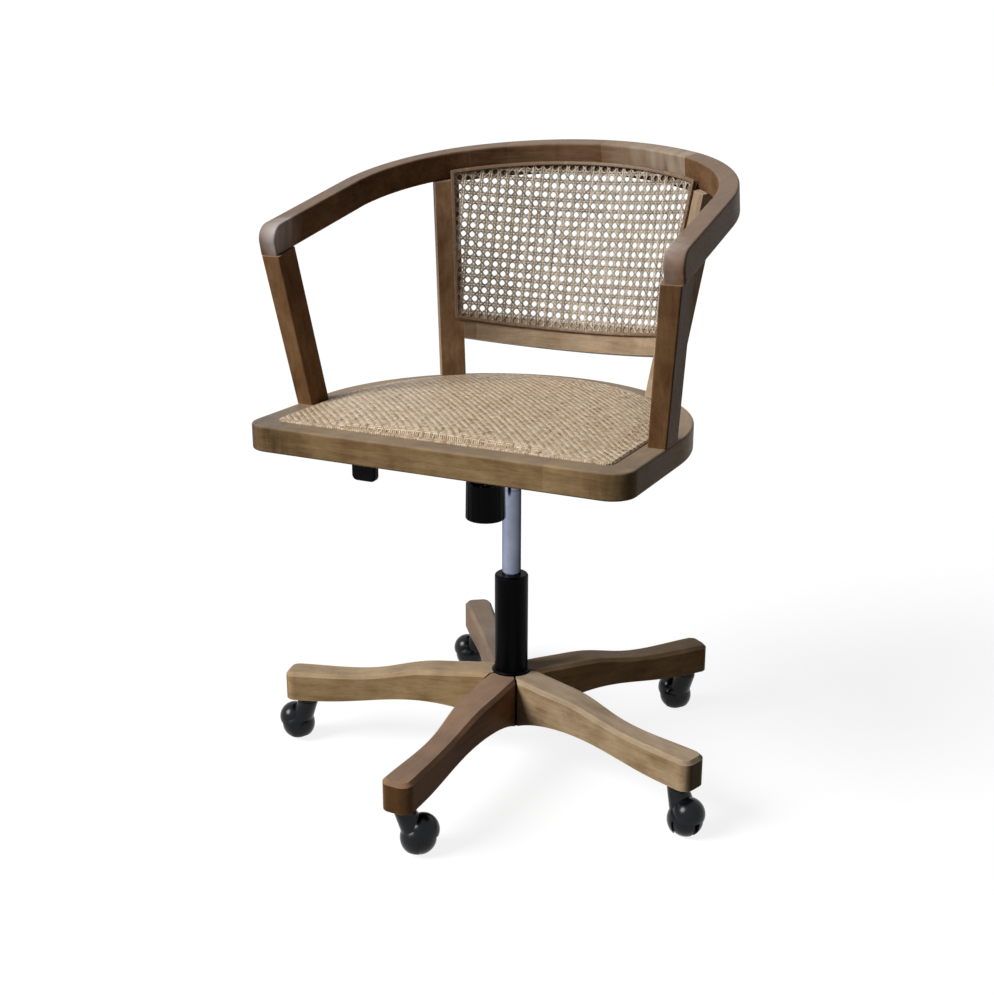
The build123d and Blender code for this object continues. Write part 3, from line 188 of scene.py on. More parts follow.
class Finish:
    """A node material under construction."""

    def __init__(self, name):
        self.material = bpy.data.materials.new(name)
        self.material.use_nodes = True
        self.tree = self.material.node_tree
        self.shader = self.tree.nodes["Principled BSDF"]

    def feed(self, socket, value):
        """Sets a socket, or links it to another node's output."""
        if isinstance(value, bpy.types.NodeSocket):
            self.tree.links.new(value, socket)
        else:
            socket.default_value = value

    def node(self, kind, inputs=None, **settings):
        """A new node with its settings and inputs."""
        made = self.tree.nodes.new("ShaderNode" + kind)
        for key, value in settings.items():
            setattr(made, key, value)
        for key, value in (inputs or {}).items():
            self.feed(made.inputs[key], value)
        return made

    def surface(self, **inputs):
        """Feeds the shader's own sockets, named with underscores for spaces."""
        for key, value in inputs.items():
            self.feed(self.shader.inputs[key.replace("_", " ")], value)
        return self.material

    def math(self, operation, first, second=0.0, third=0.0):
        """One step of arithmetic."""
        return self.node("Math", {0: first, 1: second, 2: third}, operation=operation).outputs[0]

    def vector(self, operation, first, second):
        """One step of arithmetic on vectors."""
        return self.node("VectorMath", {0: first, 1: second}, operation=operation).outputs["Vector"]

    def measure(self, operation, first, second):
        """One number from two vectors, such as their distance."""
        return self.node("VectorMath", {0: first, 1: second}, operation=operation).outputs["Value"]

    def place(self):
        """Place on the piece, in the frame's metres."""
        return self.node("TexCoord").outputs["Object"]

    def facing(self):
        """The surface's own normal."""
        return self.node("NewGeometry").outputs["Normal"]

    def stretch(self, vector, along, across):
        """Coordinates scaled along X and across it."""
        return self.vector("MULTIPLY", vector, (along, across, across))

    def noise(self, vector, scale=1.0, detail=3.0, roughness=0.55, distortion=0.0):
        """Smooth noise from 0 to 1."""
        sockets = {"Vector": vector, "Scale": scale, "Detail": detail}
        sockets.update({"Roughness": roughness, "Distortion": distortion})
        return self.node("TexNoise", sockets).outputs["Fac"]

    def span(self, value, low, high, to_low=0.0, to_high=1.0):
        """Clamped linear change of range."""
        sockets = {"Value": value, "From Min": low, "From Max": high, "To Min": to_low, "To Max": to_high}
        return self.node("MapRange", sockets).outputs[0]

    def ramp(self, value, *stops):
        """Colours between stops of (place, colour)."""
        made = self.node("ValToRGB", {"Fac": value})
        elements = made.color_ramp.elements
        while len(elements) < len(stops):
            elements.new(0.5)
        for element, (place, colour) in zip(elements, stops):
            element.position = place
            element.color = colour
        return made.outputs["Color"]

    def mix(self, amount, first, second, blend="MIX"):
        """Two colours mixed."""
        made = self.node("Mix", data_type="RGBA", blend_type=blend)
        for place, value in ((0, amount), (6, first), (7, second)):
            self.feed(made.inputs[place], value)
        return made.outputs[2]

    def bump(self, height, strength, distance):
        """Normal of a fine relief."""
        sockets = {"Height": height, "Strength": strength, "Distance": distance}
        return self.node("Bump", sockets).outputs["Normal"]

    def edges(self, radius):
        """About 1 along the piece's edges and 0 on its flats."""
        rounded = self.node("Bevel", {"Radius": radius}, samples=4).outputs["Normal"]
        alike = self.measure("DOT_PRODUCT", rounded, self.facing())
        return self.span(alike, 0.99, 0.85)


# Wood
WOOD_SHINE = 0.025
# Painted sheen: upward faces are mixed this much towards a pale grey
TOP_SHEEN_SHARE = 0.20
TOP_SHEEN_COLOUR = srgb(196, 186, 176)
PORE_DARKNESS = 0.45
PORE_AMOUNT = 0.35
END_GRAIN = 0.8
# Radius of the pale edges, partly real wear and partly painted highlight
WORN_AND_LIT_EDGE = 0.002


def straight_grain(turn):
    """Grain along X after a turn in degrees about X, Y and Z."""

    def grain(finish):
        sockets = {"Vector": finish.place(), "Rotation": [radians(angle) for angle in turn]}
        return finish.node("Mapping", sockets).outputs["Vector"]

    return grain


def round_grain(centre_y, radius):
    """Grain round an upright axis, and straight along Y in front of it."""

    def grain(finish):
        split = finish.node("SeparateXYZ", {0: finish.place()})
        behind = finish.math("SUBTRACT", split.outputs["Y"], centre_y)
        rear = finish.math("MAXIMUM", behind, 0.0)
        ahead = finish.math("MINIMUM", behind, 0.0)
        angle = finish.math("ARCTAN2", split.outputs["X"], rear)
        side = finish.math("SIGN", split.outputs["X"])
        turned = finish.math("MULTIPLY", angle, radius)
        along = finish.math("SUBTRACT", turned, finish.math("MULTIPLY", side, ahead))
        square = finish.math("MULTIPLY", split.outputs["X"], split.outputs["X"])
        reach = finish.math("SQRT", finish.math("MULTIPLY_ADD", rear, rear, square))
        sockets = {"X": along, "Y": reach, "Z": split.outputs["Z"]}
        return finish.node("CombineXYZ", sockets).outputs[0]

    return grain


def frame_grain(finish):
    """Grain of the seat frame: along X in the front rail, round the seat in the rest."""
    rest = round_grain(PAD_ARC_Y, PAD_HALF)(finish)
    split = finish.node("SeparateXYZ", {0: finish.place()})
    front = finish.math("LESS_THAN", split.outputs["Y"], PAD_FRONT)
    made = finish.node("Mix", data_type="VECTOR")
    for place, value in ((0, front), (4, rest), (5, finish.place())):
        finish.feed(made.inputs[place], value)
    return made.outputs[1]


def wood_tone(finish, along, stave, steps):
    """Tone of the wood, about 0.5 at its middle, and the fibres and clouds that it is made of."""
    figure = finish.noise(finish.stretch(along, *FIGURE_SCALE), detail=5.0, distortion=0.5)
    ripple = finish.noise(finish.stretch(along, *RIPPLE_SCALE), detail=3.0)
    fibre = finish.noise(finish.stretch(along, *FIBRE_SCALE), detail=3.0, roughness=0.65)
    cloud = finish.noise(finish.stretch(along, *CLOUD_SCALE), detail=4.0)
    start = 0.5 - (FIGURE_SHARE + FIBRE_SHARE + RIPPLE_SHARE + CLOUD_SHARE) / 2
    value = finish.math("MULTIPLY_ADD", figure, FIGURE_SHARE, start)
    value = finish.math("MULTIPLY_ADD", fibre, FIBRE_SHARE, value)
    value = finish.math("MULTIPLY_ADD", ripple, RIPPLE_SHARE, value)
    value = finish.math("MULTIPLY_ADD", cloud, CLOUD_SHARE, value)
    if stave:
        split = finish.node("SeparateXYZ", {0: along})
        count = finish.math("FLOOR", finish.math("DIVIDE", split.outputs["X"], stave))
        tone = finish.node("TexWhiteNoise", {"W": count}, noise_dimensions="1D").outputs["Value"]
        offset = finish.math("MULTIPLY", finish.math("SUBTRACT", tone, 0.5), steps)
        value = finish.math("ADD", value, offset)
    return value, fibre, cloud


def stain_and_sheen_patch(finish, colour, along, patch):
    """The colour with a patch over it, broken up by the wood's own blotches. Dark patches are stains; pale
    patches are painted sheen and highlights.
    """
    centre, radius, stain_and_sheen, amount = patch
    far = finish.measure("DISTANCE", finish.place(), centre)
    near = finish.span(far, radius, radius / 2)
    blotches = finish.noise(finish.stretch(along, *BLOTCH_SCALE), detail=2.0)
    share = finish.math("MULTIPLY", near, finish.span(blotches, 0.35, 0.6, 0.35, 1.0))
    return finish.mix(finish.math("MULTIPLY", share, amount), colour, stain_and_sheen)


def wood(name, grain, tones, seed=0.0, stave=0.0, steps=0.0, wear_and_highlight=0.5, ends=None, patches=()):
    """Stained wood with fibres, pores, staves, dark end grain, patches (dark stains and pale painted
    sheen), a painted sheen on upward faces, and pale edges that are partly wear and partly painted
    highlight.

    The tones are its dark and its light colour, and a patch is (centre, radius, colour, amount).
    """
    dark, light = tones
    middle = [(a + b) / 2 for a, b in zip(dark, light)]
    deep = [PORE_DARKNESS * part for part in dark[:3]] + [1.0]
    pale = [min(1.0, 1.5 * part + 0.03) for part in light[:3]] + [1.0]
    finish = Finish(name)
    along = finish.vector("ADD", grain(finish), (seed, 2 * seed, 3 * seed))
    value, fibre, cloud = wood_tone(finish, along, stave, steps)
    colour = finish.ramp(value, (0.32, dark), (0.5, middle), (0.68, light))
    pores = finish.span(finish.noise(finish.stretch(along, *PORE_SCALE), detail=1.0), 0.60, 0.72)
    colour = finish.mix(finish.math("MULTIPLY", pores, PORE_AMOUNT), colour, deep)
    facing = finish.facing()
    if ends:
        turned = finish.math("ABSOLUTE", finish.measure("DOT_PRODUCT", facing, ends))
        colour = finish.mix(finish.span(turned, 0.60, 0.95, 0.0, END_GRAIN), colour, deep)
    for patch in patches:
        colour = stain_and_sheen_patch(finish, colour, along, patch)
    # Painted sheen: faces that look up are made paler and greyer
    upward = finish.node("SeparateXYZ", {0: facing}).outputs["Z"]
    colour = finish.mix(finish.span(upward, 0.3, 1.0, 0.0, TOP_SHEEN_SHARE), colour, TOP_SHEEN_COLOUR)
    # Pale edges in spots: partly real wear, partly a painted highlight where the edges catch the light
    edge_spots = finish.span(finish.noise(finish.place(), EDGE_SPOTS), 0.25, 0.55)
    worn_and_lit = finish.math("MULTIPLY", finish.edges(WORN_AND_LIT_EDGE), finish.math("MULTIPLY", edge_spots, wear_and_highlight))
    colour = finish.mix(worn_and_lit, colour, pale)
    height = finish.math("SUBTRACT", fibre, finish.math("MULTIPLY", pores, 0.6))
    gloss = finish.span(finish.math("ADD", fibre, cloud), 0.7, 1.3, 0.34, 0.50)
    finish.surface(Specular_IOR_Level=WOOD_SHINE)
    return finish.surface(Base_Color=colour, Roughness=gloss, Normal=finish.bump(height, 0.2, WOOD_RELIEF))


def plywood():
    """Raw plywood of the seat board."""
    grain = straight_grain((0, 0, 0))
    return wood("plywood", grain, (srgb(150, 118, 80), srgb(198, 166, 122)), seed=4.0, wear_and_highlight=0.2)


# Cane and rattan
def strand_finish(name, dark, middle, light, gloss):
    """Split cane or rattan: a tone along each strand, blotches, dark specks and a satin skin."""
    finish = Finish(name)
    tone = finish.node("Attribute", attribute_name="tone").outputs["Fac"]
    blotch = finish.noise(finish.place(), STRAND_BLOTCHES, detail=3.0)
    value = finish.math("ADD", tone, finish.span(blotch, 0.3, 0.7, -0.22, 0.22))
    colour = finish.ramp(value, (0.0, dark), (0.45, middle), (1.0, light))
    speck = finish.span(finish.noise(finish.place(), STRAND_SPECKS, detail=2.0), 0.60, 0.72)
    colour = finish.mix(finish.math("MULTIPLY", speck, 0.5), colour, dark)
    fibre = finish.noise(finish.place(), STRAND_FIBRES, detail=2.0)
    rough = finish.span(fibre, 0.3, 0.7, gloss - 0.06, gloss + 0.10)
    return finish.surface(Base_Color=colour, Roughness=rough, Normal=finish.bump(fibre, 0.2, STRAND_RELIEF))


def pad_cloth():
    """Lining under the woven seat: cloth of the rattan's own colour in the gaps of the weave."""
    finish = Finish("pad_lining")
    threads = finish.noise(finish.place(), LINING_THREADS, detail=2.0)
    colour = finish.ramp(threads, (0.3, srgb(138, 116, 90)), (0.7, srgb(170, 146, 116)))
    return finish.surface(Base_Color=colour, Roughness=0.9, Normal=finish.bump(threads, 0.4, LINING_RELIEF))


# Metal and plastic
def coating(name, low, high, gloss, shine, grain, relief):
    """Black paint or plastic with a fine relief and uneven gloss."""
    finish = Finish(name)
    finish.surface(Specular_IOR_Level=shine)
    cloud = finish.noise(finish.place(), COATING_CLOUDS, detail=3.0)
    colour = finish.ramp(cloud, (0.3, low), (0.7, high))
    texture = finish.noise(finish.place(), grain, detail=2.0)
    rough = finish.span(finish.math("ADD", cloud, texture), 0.7, 1.3, gloss - 0.05, gloss + 0.08)
    normal = finish.bump(texture, relief, COATING_RELIEF)
    return finish.surface(Base_Color=colour, Roughness=rough, Normal=normal)


def metal(name, low, high, gloss, scratch, rim=1.0, shade=None):
    """Bare or plated metal with fine scratches along Z.

    Glancing reflections are dimmed to the rim share, and a shade (direction, share) dims the side facing
    that direction as a painted dark reflection.
    """
    finish = Finish(name)
    finish.surface(Metallic=1.0, Specular_Tint=(rim, rim, rim, 1.0))
    marks = finish.noise(finish.vector("MULTIPLY", finish.place(), SCRATCH_SCALE), detail=2.0)
    cloud = finish.noise(finish.place(), METAL_CLOUDS)
    colour = finish.ramp(finish.math("MULTIPLY_ADD", marks, 0.3, cloud), (0.3, low), (0.8, high))
    if shade:
        # Painted reflection: faces turned towards the direction are darkened, as if they reflected a dark
        # room
        direction, share = shade
        turned = finish.measure("DOT_PRODUCT", finish.facing(), direction)
        dim = finish.span(turned, -0.6, 0.9, 1.0, share)
        grey = finish.node("CombineXYZ", {0: dim, 1: dim, 2: dim}).outputs[0]
        colour = finish.mix(1.0, colour, grey, "MULTIPLY")
    rough = finish.span(marks, 0.3, 0.7, gloss, gloss + 0.10)
    normal = finish.bump(marks, scratch, METAL_RELIEF)
    return finish.surface(Base_Color=colour, Roughness=rough, Normal=normal)


def dress(material, *names):
    """Gives CAD nodes a material in place of their own."""
    for name in names:
        mesh = nodes[name].data
        mesh.materials.clear()
        mesh.materials.append(material)


# Each leg and post has its own tones, partly the wood's own colour and partly painted light and shade: lit
# and shaded copies of one wood
LEG_TONES_AND_PAINTED_LIGHT = {
    1: (srgb(98, 67, 41), srgb(156, 114, 78)),
    2: (srgb(122, 96, 66), srgb(188, 164, 132)),
    3: (srgb(124, 90, 54), srgb(190, 154, 110)),
    4: (srgb(82, 60, 40), srgb(128, 103, 79)),
    5: (srgb(122, 93, 59), srgb(193, 164, 122)),
}
ARM_TONES = (srgb(77, 50, 29), srgb(136, 104, 75))
CREST_TONES = (srgb(80, 54, 33), srgb(150, 120, 92))
# The posts' tones hold painted light: the left posts, whose seen faces are in shade, are made lighter
POST_TONES_AND_PAINTED_LIGHT = {
    "front_post_left": (srgb(88, 58, 32), srgb(148, 113, 79)),
    "front_post_right": (srgb(77, 50, 28), srgb(130, 98, 68)),
    "rear_post_left": (srgb(108, 76, 49), srgb(174, 139, 105)),
    "rear_post_right": (srgb(122, 98, 74), srgb(182, 160, 134)),
}
LOWER_RAIL_TONES = (srgb(110, 84, 58), srgb(178, 156, 130))
FRAME_TONES = (srgb(96, 71, 42), srgb(164, 137, 100))
FRAME_PATCHES = (
    (frame_low, 0.11, srgb(58, 40, 26), 0.75),
    ((frame_high.x, frame_low.y, frame_low.z), 0.10, srgb(62, 42, 26), 0.5),
)
# Painted sheen: a pale patch on the inner face of the crest rail's right part
CREST_SHEEN_PLACE = (0.13, 0.16, 0.87)
CREST_SHEEN_PATCHES = ((CREST_SHEEN_PLACE, 0.14, srgb(196, 180, 162), 0.6),)
# Painted highlight: a pale patch on each arm's front tip, as (radius, colour, amount)
ARM_TIP_HIGHLIGHT = {
    "arm_left": (0.075, srgb(212, 204, 204), 0.85),
    "arm_right": (0.075, srgb(196, 180, 174), 0.8),
}
ARM_GRAIN_TURN = {"arm_left": -106, "arm_right": -74}


def dress_wood():
    """Wood of the legs, the seat frame, the posts, the rails and the board."""
    for number, tones in LEG_TONES_AND_PAINTED_LIGHT.items():
        low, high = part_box(f"leg_{number}")
        middle = (low + high) / 2
        heading = np.arctan2(middle.y, middle.x)
        grain = straight_grain((0, 0, -np.degrees(heading)))
        ends = (cos(heading), sin(heading), 0.0)
        dress(wood(f"leg_wood_{number}", grain, tones, seed=0.37 * number, ends=ends), f"leg_{number}")
    frame_wood = wood(
        "frame_wood", frame_grain, FRAME_TONES, seed=2.3, stave=0.19, steps=0.10,
        wear_and_highlight=0.9, patches=FRAME_PATCHES,
    )
    dress(frame_wood, "seat_frame")
    upright = straight_grain((0, 90, 0))
    for place, (name, tones) in enumerate(POST_TONES_AND_PAINTED_LIGHT.items()):
        dress(wood(f"{name}_wood", upright, tones, seed=3.1 + 0.41 * place), name)
    for name, turn in ARM_GRAIN_TURN.items():
        grain = straight_grain((0, 0, turn))
        low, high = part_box(name)
        # Painted highlight near the arm's front tip
        tip = ((low.x + high.x) / 2, low.y, low.z + (high.z - low.z) / 3)
        tip_highlight = (tip, *ARM_TIP_HIGHLIGHT[name])
        arm_wood = wood(
            f"{name}_wood", grain, ARM_TONES, seed=5.2, stave=0.16, steps=0.06, patches=(tip_highlight,)
        )
        dress(arm_wood, name)
    bent = round_grain(BACK_AXIS_Y, BACK_RADIUS)
    crest = wood("crest_wood", bent, CREST_TONES, seed=6.1, stave=0.06, steps=0.16, patches=CREST_SHEEN_PATCHES)
    dress(crest, "crest_rail")
    dress(wood("lower_rail_wood", bent, LOWER_RAIL_TONES, seed=7.7, stave=0.09, steps=0.2), "lower_rail")
    dress(plywood(), "seat_board")


# Painted dark reflection on the chrome's side facing right and back
CHROME_SHADE = ((0.89, 0.45, 0.0), 0.14)


def dress_metal():
    """Black, chrome and steel pieces. Gives the finish for the tension spring, which is made apart."""
    paint = coating(
        "black_paint", srgb(1, 1, 2), srgb(5, 5, 7), gloss=0.34, shine=0.04, grain=900.0, relief=0.10
    )
    dress(paint, "column_tube", "base_ring", "tilt_housing", "seat_plate", "hub_socket", "lever_arm")
    plastic = coating(
        "black_plastic", srgb(2, 2, 3), srgb(8, 8, 9), gloss=0.42, shine=0.05, grain=1800.0, relief=0.22
    )
    dress(plastic, "guide_bush", "tension_knob", "lever_paddle", "release_button", "rod_gland", "piston")
    caster = coating(
        "caster_black", srgb(6, 7, 10), srgb(16, 18, 24), gloss=0.22, shine=0.22, grain=500.0, relief=0.05
    )
    caster_nodes = [f"{kind}_{number}" for kind in ("caster_hood", "wheels") for number in range(1, 6)]
    dress(caster, *caster_nodes)
    chrome = metal(
        "chrome", srgb(124, 130, 150), srgb(158, 164, 186), gloss=0.10, scratch=0.06,
        rim=0.35, shade=CHROME_SHADE,
    )
    dress(chrome, "pressure_tube", "piston_rod")
    steel = metal("bare_steel", srgb(120, 120, 124), srgb(172, 172, 176), gloss=0.30, scratch=0.15)
    dress(steel, "leg_screws", "plate_screws", "tension_bolt", "pivot_pin", "thrust_bearing")
    steel_nodes = [f"{kind}_{number}" for kind in ("caster_stem", "wheel_axle") for number in range(1, 6)]
    dress(steel, "retaining_clip", "caster_sockets", *steel_nodes)
    return coating(
        "spring_black", srgb(10, 10, 12), srgb(26, 26, 30), gloss=0.30, shine=0.2, grain=700.0, relief=0.08
    )


# Meshes
def quad_mesh(name, corners, faces):
    """A smooth mesh of four-sided faces from arrays."""
    mesh = bpy.data.meshes.new(name)
    mesh.vertices.add(len(corners))
    mesh.vertices.foreach_set("co", corners.astype(np.float32).ravel())
    mesh.loops.add(4 * len(faces))
    mesh.loops.foreach_set("vertex_index", faces.astype(np.int32).ravel())
    mesh.polygons.add(len(faces))
    mesh.polygons.foreach_set("loop_start", np.arange(0, 4 * len(faces), 4, dtype=np.int32))
    mesh.update(calc_edges=True)
    mesh.polygons.foreach_set("use_smooth", np.ones(len(faces), dtype=bool))
    return mesh


def piece(name, mesh, body, material=None):
    """A new object that rides on a body, with the given finish."""
    made = bpy.data.objects.new(name, mesh)
    bpy.context.scene.collection.objects.link(made)
    if material:
        mesh.materials.append(material)
    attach(made, body)
    return made


def strand_mesh(name, strands, thickness):
    """Flat strands with a six-sided section, from (points, normals, tone, width) of each."""
    sides = 6
    corners = []
    faces = []
    tones = []
    first = 0
    for points, normals, tone, width in strands:
        count = len(points)
        along = np.gradient(points, axis=0)
        along /= np.linalg.norm(along, axis=1, keepdims=True)
        across = np.cross(along, normals)
        across /= np.linalg.norm(across, axis=1, keepdims=True)
        up = np.cross(across, along)
        edge = across * width / 2
        flat = edge * STRAND_FLAT
        rise = up * thickness / 2
        ring = [
            points - edge,
            points - flat + rise,
            points + flat + rise,
            points + edge,
            points + flat - rise,
            points - flat - rise,
        ]
        corners.append(np.stack(ring, axis=1).reshape(-1, 3))
        starts = first + sides * np.arange(count - 1)
        ahead = starts + sides
        for side in range(sides):
            other = (side + 1) % sides
            faces.append(np.stack([starts + side, starts + other, ahead + other, ahead + side], axis=1))
        last = first + sides * (count - 1)
        faces.append(first + np.array([[3, 2, 1, 0], [5, 4, 3, 0]]))
        faces.append(last + np.array([[0, 1, 2, 3], [0, 3, 4, 5]]))
        tones.append(np.repeat(tone, sides))
        first += sides * count
    mesh = quad_mesh(name, np.concatenate(corners), np.concatenate(faces))
    mesh.attributes.new("tone", "FLOAT", "POINT").data.foreach_set("value", np.concatenate(tones))
    return mesh


# Seat cushion
def settled(obj):
    """The object's mesh with its modifiers applied, as a new mesh."""
    graph = bpy.context.evaluated_depsgraph_get()
    return bpy.data.meshes.new_from_object(obj.evaluated_get(graph))


def mesh_points(mesh):
    """The mesh's points as an array."""
    points = np.zeros(3 * len(mesh.vertices), dtype=np.float32)
    mesh.vertices.foreach_get("co", points)
    return points.reshape(-1, 3).astype(float)


def inflate(cushion):
    """Lets the cushion swell upward as cloth, with its flat underside held."""
    start = mesh_points(cushion.data)
    held = cushion.vertex_groups.new(name="held")
    resting = np.nonzero(start[:, 2] < SEAT_TOP)[0]
    held.add([int(index) for index in resting], 1.0, "REPLACE")
    cloth = cushion.modifiers.new("Cloth", "CLOTH")
    cloth.settings.vertex_group_mass = "held"
    cloth.settings.use_pressure = True
    cloth.settings.uniform_pressure_force = CUSHION_PRESSURE
    cloth.settings.effector_weights.gravity = 0.0
    scene = bpy.context.scene
    for step in range(1, CUSHION_FRAMES + 1):
        scene.frame_set(step)
    swollen = settled(cushion)
    moved = mesh_points(swollen) - start
    moved[:, :2] = 0.0
    moved[:, 2] = np.clip(moved[:, 2], 0.0, CUSHION_RISE)
    cushion.modifiers.remove(cloth)
    cushion.vertex_groups.clear()
    cushion.data.vertices.foreach_set("co", (start + moved).astype(np.float32).ravel())
    cushion.data.update()
    scene.frame_set(1)


def make_cushion():
    """The seat's padded body, swollen from a slightly smaller copy of its solid."""
    rough = bpy.data.objects.new("cushion_form", nodes["seat_pad"].data.copy())
    bpy.context.scene.collection.objects.link(rough)
    points = mesh_points(rough.data)
    centre = (points.min(axis=0) + points.max(axis=0)) / 2
    size = points.max(axis=0) - points.min(axis=0)
    points[:, :2] = centre[:2] + (points[:, :2] - centre[:2]) * (1 - 2 * CUSHION_SHRINK / size[:2])
    rough.data.vertices.foreach_set("co", points.astype(np.float32).ravel())
    remesh = rough.modifiers.new("Remesh", "REMESH")
    remesh.mode = "VOXEL"
    remesh.voxel_size = CUSHION_VOXEL
    mesh = settled(rough)
    bpy.data.objects.remove(rough)
    mesh.materials.clear()
    mesh.polygons.foreach_set("use_smooth", np.ones(len(mesh.polygons), dtype=bool))
    cushion = piece("seat_cushion", mesh, "seat", pad_cloth())
    inflate(cushion)
    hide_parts("seat_pad")
    return cushion


def pad_reach(value, axis):
    """Ends of the line across the pad's plan at a place on the other axis."""
    half = PAD_HALF - WEAVE_INSET
    front = PAD_FRONT + WEAVE_INSET
    if axis == 0:
        reach = half
        if value > PAD_ARC_Y:
            reach = sqrt(max(0.0, half**2 - (value - PAD_ARC_Y) ** 2))
        elif value < front + PAD_CORNER:
            reach = half - PAD_CORNER + sqrt(max(0.0, PAD_CORNER**2 - (front + PAD_CORNER - value) ** 2))
        return -reach, reach
    rear = PAD_ARC_Y + sqrt(max(0.0, half**2 - value**2))
    corner = abs(value) - (half - PAD_CORNER)
    if corner > 0:
        front += PAD_CORNER - sqrt(max(0.0, PAD_CORNER**2 - corner**2))
    return front, rear


UPWARD = Vector((0, 0, 1))


def weave_spot(axis, run, fixed, height):
    """The place of a strand along an axis, at a run along it and a fixed distance beside it."""
    if axis == 0:
        return Vector((run, fixed, height))
    return Vector((fixed, run, height))


def weave_end(axis, edge, fixed, sign):
    """Points and normals where a strand bends over the pad's edge and tucks in behind the frame."""
    out = weave_spot(axis, sign, 0.0, 0.0)
    brow = weave_spot(axis, edge, fixed, SEAT_TOP + WEAVE_SHOULDER / 2)
    foot = weave_spot(axis, edge, fixed, SEAT_TOP - WEAVE_TUCK)
    return [brow, foot], [(out + UPWARD).normalized(), out]


def laid_strand(surface, axis, lane):
    """One strand of the twill, over two and under two, laid on the cushion."""
    fixed = (lane + 0.5) * WEAVE_PITCH + draw.normal(0.0, WEAVE_STRAY)
    low, high = pad_reach(fixed, axis)
    ease = WEAVE_PITCH / 2
    first = ceil((low + ease) / WEAVE_PITCH - 0.5)
    last = floor((high - ease) / WEAVE_PITCH - 0.5)
    crossings = np.arange(first, last + 1)
    if len(crossings) < 2:
        return None
    runs = (crossings + 0.5) * WEAVE_PITCH
    over = ((crossings + lane) % 4 < 2) == (axis == 0)
    swing = np.where(over, 2.0, 0.0) * WEAVE_SWING
    points = []
    normals = []
    for run, lift in zip(runs, swing):
        hit, normal, _, _ = surface.ray_cast(weave_spot(axis, run, fixed, 1.0), -UPWARD)
        if hit is None or hit.z < SEAT_TOP + WEAVE_SHOULDER:
            hit = weave_spot(axis, run, fixed, SEAT_TOP + WEAVE_SHOULDER)
            normal = UPWARD
        points.append(hit + normal * lift)
        normals.append(normal)
    head, head_normals = weave_end(axis, low, fixed, -1)
    tail, tail_normals = weave_end(axis, high, fixed, 1)
    points = head[::-1] + points + tail
    normals = head_normals[::-1] + normals + tail_normals
    floats = np.repeat(draw.normal(0.0, WEAVE_FLOAT_SPREAD, len(points) // 2 + 1), 2)[:len(points)]
    tone = np.clip(draw.normal(WEAVE_TONE, WEAVE_TONE_SPREAD) + floats, 0.0, 1.0)
    return np.array(points), np.array(normals), tone, WEAVE_WIDTH


def edge_strand(surface, inset):
    """A strand along the pad's outline, which closes the weave's edge."""
    half = PAD_HALF - inset
    front = PAD_FRONT + inset
    corner = PAD_CORNER - inset / 2
    plan = []
    for side, turn in ((-1, pi), (1, 3 * pi / 2)):
        for bend in np.linspace(turn, turn + pi / 2, EDGE_CORNER_STEPS):
            plan.append((side * (half - corner) + corner * cos(bend), front + corner + corner * sin(bend)))
    for bend in np.linspace(0.0, pi, EDGE_ARC_STEPS):
        plan.append((half * cos(bend), PAD_ARC_Y + half * sin(bend)))
    plan.append(plan[0])
    plan = np.array(plan)
    run = np.concatenate([[0.0], np.cumsum(np.linalg.norm(np.diff(plan, axis=0), axis=1))])
    steps = np.arange(0.0, run[-1], WEAVE_PITCH)
    points = []
    normals = []
    for x, y in zip(np.interp(steps, run, plan[:, 0]), np.interp(steps, run, plan[:, 1])):
        hit, _, _, _ = surface.ray_cast(Vector((x, y, 1.0)), -UPWARD)
        if hit is None or hit.z < SEAT_TOP + WEAVE_SHOULDER / 2:
            hit = Vector((x, y, SEAT_TOP + WEAVE_SHOULDER / 2))
        points.append(hit)
        normals.append(UPWARD)
    tone = np.clip(draw.normal(EDGE_TONE, EDGE_TONE_SPREAD, len(points)), 0.0, 1.0)
    return np.array(points), np.array(normals), tone, WEAVE_WIDTH


def make_weave(cushion):
    """Rattan woven two over, two under, over the whole cushion."""
    graph = bpy.context.evaluated_depsgraph_get()
    surface = BVHTree.FromObject(cushion, graph)
    strands = []
    spans = ((PAD_FRONT, pad_high.y), (-PAD_HALF, PAD_HALF))
    for axis, (low, high) in enumerate(spans):
        for lane in range(ceil(low / WEAVE_PITCH), floor(high / WEAVE_PITCH)):
            strand = laid_strand(surface, axis, lane)
            if strand:
                strands.append(strand)
    strands += [edge_strand(surface, inset) for inset in WEAVE_EDGES]
    mesh = strand_mesh("seat_weave", strands, WEAVE_THICKNESS)
    rattan = strand_finish("rattan", srgb(108, 84, 60), srgb(188, 162, 131), srgb(220, 203, 179), 0.42)
    piece("seat_weave", mesh, "seat", rattan)


# Cane panel
CONE_TURN = atan(BACK_SLOPE)
CONE_APEX_Z = SEAT_TOP - BACK_RADIUS / BACK_SLOPE


def cane_place(flat, lift):
    """Points and normals on the back's cone for places in its flat development."""
    reach = np.hypot(flat[:, 0], flat[:, 1])
    angle = np.arctan2(flat[:, 0], flat[:, 1]) / sin(CONE_TURN)
    level = np.stack([np.sin(angle), np.cos(angle)], axis=1)
    drop = np.full((len(angle), 1), -sin(CONE_TURN))
    normals = -np.concatenate([level * cos(CONE_TURN), drop], axis=1)
    height = CONE_APEX_Z + reach[:, None] * cos(CONE_TURN)
    plan = level * reach[:, None] * sin(CONE_TURN) + np.array([0.0, BACK_AXIS_Y])
    points = np.concatenate([plan, height], axis=1)
    return points + normals * (CANE_DEPTH + lift)[:, None], normals, angle


def inside_panel(points, angle):
    """Which points lie within the panel's four edges."""
    top = CANE_TOP_Z + CANE_TOP_TILT * points[:, 1]
    bottom = CANE_BOTTOM_Z - CANE_BOTTOM_SLOPE * (points[:, 1] - CANE_BOTTOM_Y)
    return (np.abs(angle) < CANE_HALF_ANGLE) & (points[:, 2] < top) & (points[:, 2] > bottom)


